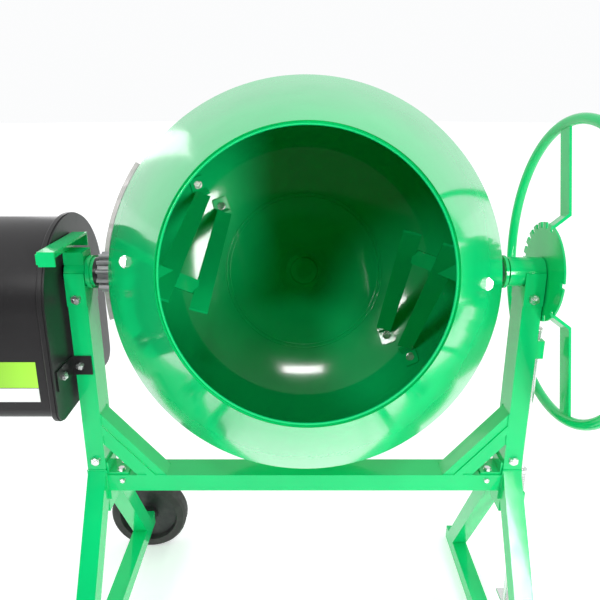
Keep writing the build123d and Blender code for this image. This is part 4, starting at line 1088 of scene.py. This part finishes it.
class MIXER_OT_welds(bpy.types.Operator):
    """Lays the painted weld beads on the yoke and the stand"""

    bl_idname = "mixer.welds"
    bl_label = "Lay the welds"

    def execute(self, context):
        detail = context.scene.mixer_detail
        tree = weld_tree(FINISHES["enamel"])
        for name, body, lines in (
            ("yoke_welds", "yoke", self.yoke()),
            ("stand_welds", "stand", self.stand()),
        ):
            source = line_object(name, lines, LEVEL_PLACE)
            grown(
                source, tree, name, body, "enamel", "green_paint", 1.2,
                bead=detail.weld, ripple=detail.ripple,
            )
        return {"FINISHED"}

    def yoke(self):
        """Welds round the right trunnion and at the hand wheel's spokes."""
        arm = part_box("yoke_arm_right")[1].x - TILT_CENTRE.x
        lines = [loop((arm, 0, 0), (1, 0, 0), 0.0205)]
        rim = middle("hand_wheel_rim")
        x = rim.x - TILT_CENTRE.x
        low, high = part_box("hand_wheel_rim")
        reach = (high.z - low.z) / 2 - 0.022
        turn = Matrix.Rotation(math.pi / 2 - DRUM_RISE, 3, "X")
        for side in (-1, 1):
            for face in (-0.0025, 0.0025):
                a = turn @ Vector((x + face, -0.019, side * (reach + 0.0005)))
                b = turn @ Vector((x + face, 0.019, side * (reach + 0.0005)))
                lines.append([a, b])
        return lines

    def stand(self):
        """Welds of the braces, legs and beams."""
        lines = []
        centre = TILT_CENTRE
        for side, post in ((-1, "post_left"), (1, "post_right")):
            low, high = (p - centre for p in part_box(post))
            face = high.x if side < 0 else low.x
            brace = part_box("brace_left" if side < 0 else "brace_right")
            brace_low, brace_high = (p - centre for p in brace)
            beam_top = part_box("cross_beam")[1].z - centre.z
            inner = brace_high.x if side < 0 else brace_low.x
            edges = (brace_low.y + 0.003, brace_high.y)
            for y in edges:
                top = Vector((face, y, brace_high.z))
                lines.append([top, top - Vector((0, 0, 0.075))])
            for y in edges:
                tip = Vector((inner, y, beam_top))
                lines.append([tip, tip + Vector((side * 0.065, 0, 0))])
            for sign, leg in ((-1, "leg_front_"), (1, "leg_rear_")):
                leg_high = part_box(leg + ("left" if side < 0 else "right"))[1] - centre
                y = sign * abs(low.y if sign < 0 else high.y)
                for x in (low.x, high.x):
                    lines.append([Vector((x, y, leg_high.z)), Vector((x, y, leg_high.z - 0.047))])
                lines.append([Vector((low.x, y, leg_high.z)), Vector((high.x, y, leg_high.z))])
        return lines


class MIXER_OT_tread(bpy.types.Operator):
    """Moulds the tread lugs of the two transport wheels"""

    bl_idname = "mixer.tread"
    bl_label = "Mould the treads"

    def execute(self, context):
        detail = context.scene.mixer_detail
        tree = tread_tree(FINISHES["rubber"])
        for side in ("front", "rear"):
            low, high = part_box(f"wheel_{side}")
            centre = (low + high) / 2
            name = f"tyre_tread_{side}"
            place = Matrix.Translation(centre) @ Matrix.Rotation(math.pi / 2, 4, "X")
            source = source_object(name, [(0, 0, 0)], [], [], place)
            grown(
                source, tree, name, f"{side}_wheel", "rubber", "black_plastic", 0.6,
                lugs=detail.lugs, radius=(high.z - low.z) / 2 - 0.0035, width=high.y - low.y,
            )
        return {"FINISHED"}


class MIXER_OT_spring(bpy.types.Operator):
    """Winds the lock pedal's return spring"""

    bl_idname = "mixer.spring"
    bl_label = "Wind the spring"

    def execute(self, context):
        detail = context.scene.mixer_detail
        low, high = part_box("lock_spring")
        wire = 0.0013
        centre = (low + high) / 2
        place = Matrix.Translation((centre.x, centre.y, low.z + wire))
        source = source_object("return_spring", [(0, 0, 0)], [], [], place)
        piece = grown(
            source, coil_tree(FINISHES["zinc"]), "return_spring", None, "zinc", "zinc", 1.0,
            turns=detail.spring_turns, radius=(high.x - low.x) / 2 - wire, wire=wire,
            height=high.z - low.z - 2 * wire,
        )
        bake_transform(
            piece, "stand", "lock",
            start=(centre.x, centre.y, low.z), end=(centre.x, centre.y, high.z),
        )
        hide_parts("lock_spring")
        return {"FINISHED"}


class MIXER_OT_stage(bpy.types.Operator):
    """Lays the studio floor and sets the lights and the camera"""

    bl_idname = "mixer.stage"
    bl_label = "Set the stage"

    def execute(self, context):
        stage = context.scene.mixer_stage
        context.scene.view_settings.view_transform = "Standard"
        self.floor(stage)
        self.surround(context, stage)
        for name, bearing, height, distance, size, power in (
            ("Right softbox", 26, 5, 2.6, (0.3, 1.05), stage.right),
            ("Left softbox", -24, 25, 2.6, (0.22, 0.45), stage.left),
            ("Top softbox", 1, 39, 2.6, (0.42, 0.14), stage.top),
            ("Rear strip light", -149, 10, 3.2, (0.3, 1.0), stage.back),
        ):
            self.softbox(name, bearing, height, distance, size, power)
        self.camera(context, stage)
        return {"FINISHED"}

    def floor(self, stage):
        """A wide disc on the ground, pale and lit with painted light round the mixer, and painted dark shade
        well before its mouth.
        """
        count = 96
        radius = 40.0
        rim = loop((0, 0, 0), (0, 0, 1), radius, count)[:-1]
        faces = [(0, 1 + k, 1 + (k + 1) % count) for k in range(count)]
        floor = source_object("studio_floor", [Vector((0, 0, 0))] + rim, [], faces, Matrix())
        finish = Finish("Studio floor", roughness=0.6)
        clouds = finish.noise(1.4, 2.0)
        base = tuple(stage.floor)
        tone = finish.blend(clouds * 0.3, base, tinted(base, 0.97))
        ahead = finish.parts(finish.place())[1]
        # 0 beyond 1.8 m before the mixer's middle, 1 from 1.1 m inwards: painted shade darkens the floor far
        # before the mouth, painted light brightens it round the mixer
        painted_light_mask = finish.ramp(ahead * 0.5 + 1.0, (0.1, 0.0), (0.45, 1.0))
        tone = finish.blend(painted_light_mask, tinted(base, 0.2), tone)
        painted_glow = finish.blend(painted_light_mask, (0.0, 0.0, 0.0), (1.0, 1.0, 1.0))
        # painted light: round the mixer the floor emits light of its own, though it is no lamp
        finish.shader.inputs["Emission Strength"].default_value = 0.32
        rough = clouds * 0.1 + 0.5
        floor.data.materials.append(
            finish.feed(base_color=tone, roughness=rough, emission_color=painted_glow)
        )

    def surround(self, context, stage):
        """A white backdrop behind the mixer, and a darker room before its mouth."""
        world = bpy.data.worlds.new("Studio")
        context.scene.world = world
        world.use_nodes = True
        tree = world.node_tree
        sky = tree.nodes["Background"]
        place = tree.nodes.new("ShaderNodeTexCoord")
        split = tree.nodes.new("ShaderNodeSeparateXYZ")
        fade = tree.nodes.new("ShaderNodeMapRange")
        for label, value in (
            ("From Min", -0.88), ("From Max", -0.5),
            ("To Min", stage.front), ("To Max", stage.surround),
        ):
            fade.inputs[label].default_value = value
        path = tree.nodes.new("ShaderNodeLightPath")
        seen = tree.nodes.new("ShaderNodeMix")
        seen.inputs["B"].default_value = stage.surround
        for start, outlet, end, inlet in (
            (place, "Generated", split, 0), (split, "Y", fade, "Value"),
            (path, "Is Camera Ray", seen, "Factor"), (fade, "Result", seen, "A"),
            (seen, "Result", sky, "Strength"),
        ):
            tree.links.new(start.outputs[outlet], end.inputs[inlet])
        sky.inputs["Color"].default_value = (0.97, 0.975, 0.98, 1.0)

    def softbox(self, name, bearing, height, distance, size, power):
        """A softbox round the tilt axis, its bearing measured from -Y towards +X in degrees."""
        turn, rise = math.radians(bearing), math.radians(height)
        level = math.cos(rise)
        toward = Vector((math.sin(turn) * level, -math.cos(turn) * level, math.sin(rise)))
        lamp = bpy.data.lights.new(name, "AREA")
        lamp.shape = "RECTANGLE"
        lamp.size, lamp.size_y = size
        lamp.energy = power
        box = bpy.data.objects.new(name, lamp)
        bpy.context.scene.collection.objects.link(box)
        box.location = TILT_CENTRE + toward * distance
        box.rotation_euler = toward.to_track_quat("Z", "Y").to_euler()
        box.visible_camera = False

    def camera(self, context, stage):
        """The camera in front of the mouth, looking a little down."""
        data = bpy.data.cameras.new("Camera")
        data.lens = stage.lens
        data.sensor_width = 36.0
        data.shift_y = -0.048
        camera = bpy.data.objects.new("Camera", data)
        context.scene.collection.objects.link(camera)
        camera.location = TILT_CENTRE + Vector(CAMERA_PLACE)
        camera.rotation_euler = (math.radians(90 - CAMERA_PITCH), 0, 0)
        context.scene.camera = camera


class MIXER_PT_panel(bpy.types.Panel):
    """Lists the mixer's operators and settings"""

    bl_idname = "MIXER_PT_panel"
    bl_label = "Concrete mixer"
    bl_space_type = "VIEW_3D"
    bl_region_type = "UI"
    bl_category = "Mixer"

    def draw(self, context):
        for operator in OPERATORS:
            self.layout.operator(operator.bl_idname)
        for group in SETTINGS:
            settings = getattr(context.scene, group)
            for name in settings.bl_rna.properties.keys():
                if name not in ("rna_type", "name"):
                    self.layout.prop(settings, name)


OPERATORS = (
    MIXER_OT_finishes, MIXER_OT_drum, MIXER_OT_bolts, MIXER_OT_welds, MIXER_OT_tread,
    MIXER_OT_spring, MIXER_OT_stage,
)
SETTINGS = {
    "mixer_finish": MixerFinishSettings,
    "mixer_drum": MixerDrumSettings,
    "mixer_detail": MixerDetailSettings,
    "mixer_stage": MixerStageSettings,
}


def register():
    """Adds the settings, the operators and the panel."""
    for group, kind in SETTINGS.items():
        bpy.utils.register_class(kind)
        setattr(bpy.types.Scene, group, PointerProperty(type=kind))
    for kind in (*OPERATORS, MIXER_PT_panel):
        bpy.utils.register_class(kind)


def unregister():
    """Removes them again."""
    for kind in reversed((*OPERATORS, MIXER_PT_panel)):
        bpy.utils.unregister_class(kind)
    for group, kind in SETTINGS.items():
        delattr(bpy.types.Scene, group)
        bpy.utils.unregister_class(kind)


def main():
    """Builds everything in order."""
    register()
    for operator in OPERATORS:
        space, name = operator.bl_idname.split(".")
        getattr(getattr(bpy.ops, space), name)()


if __name__ == "__main__":
    main()
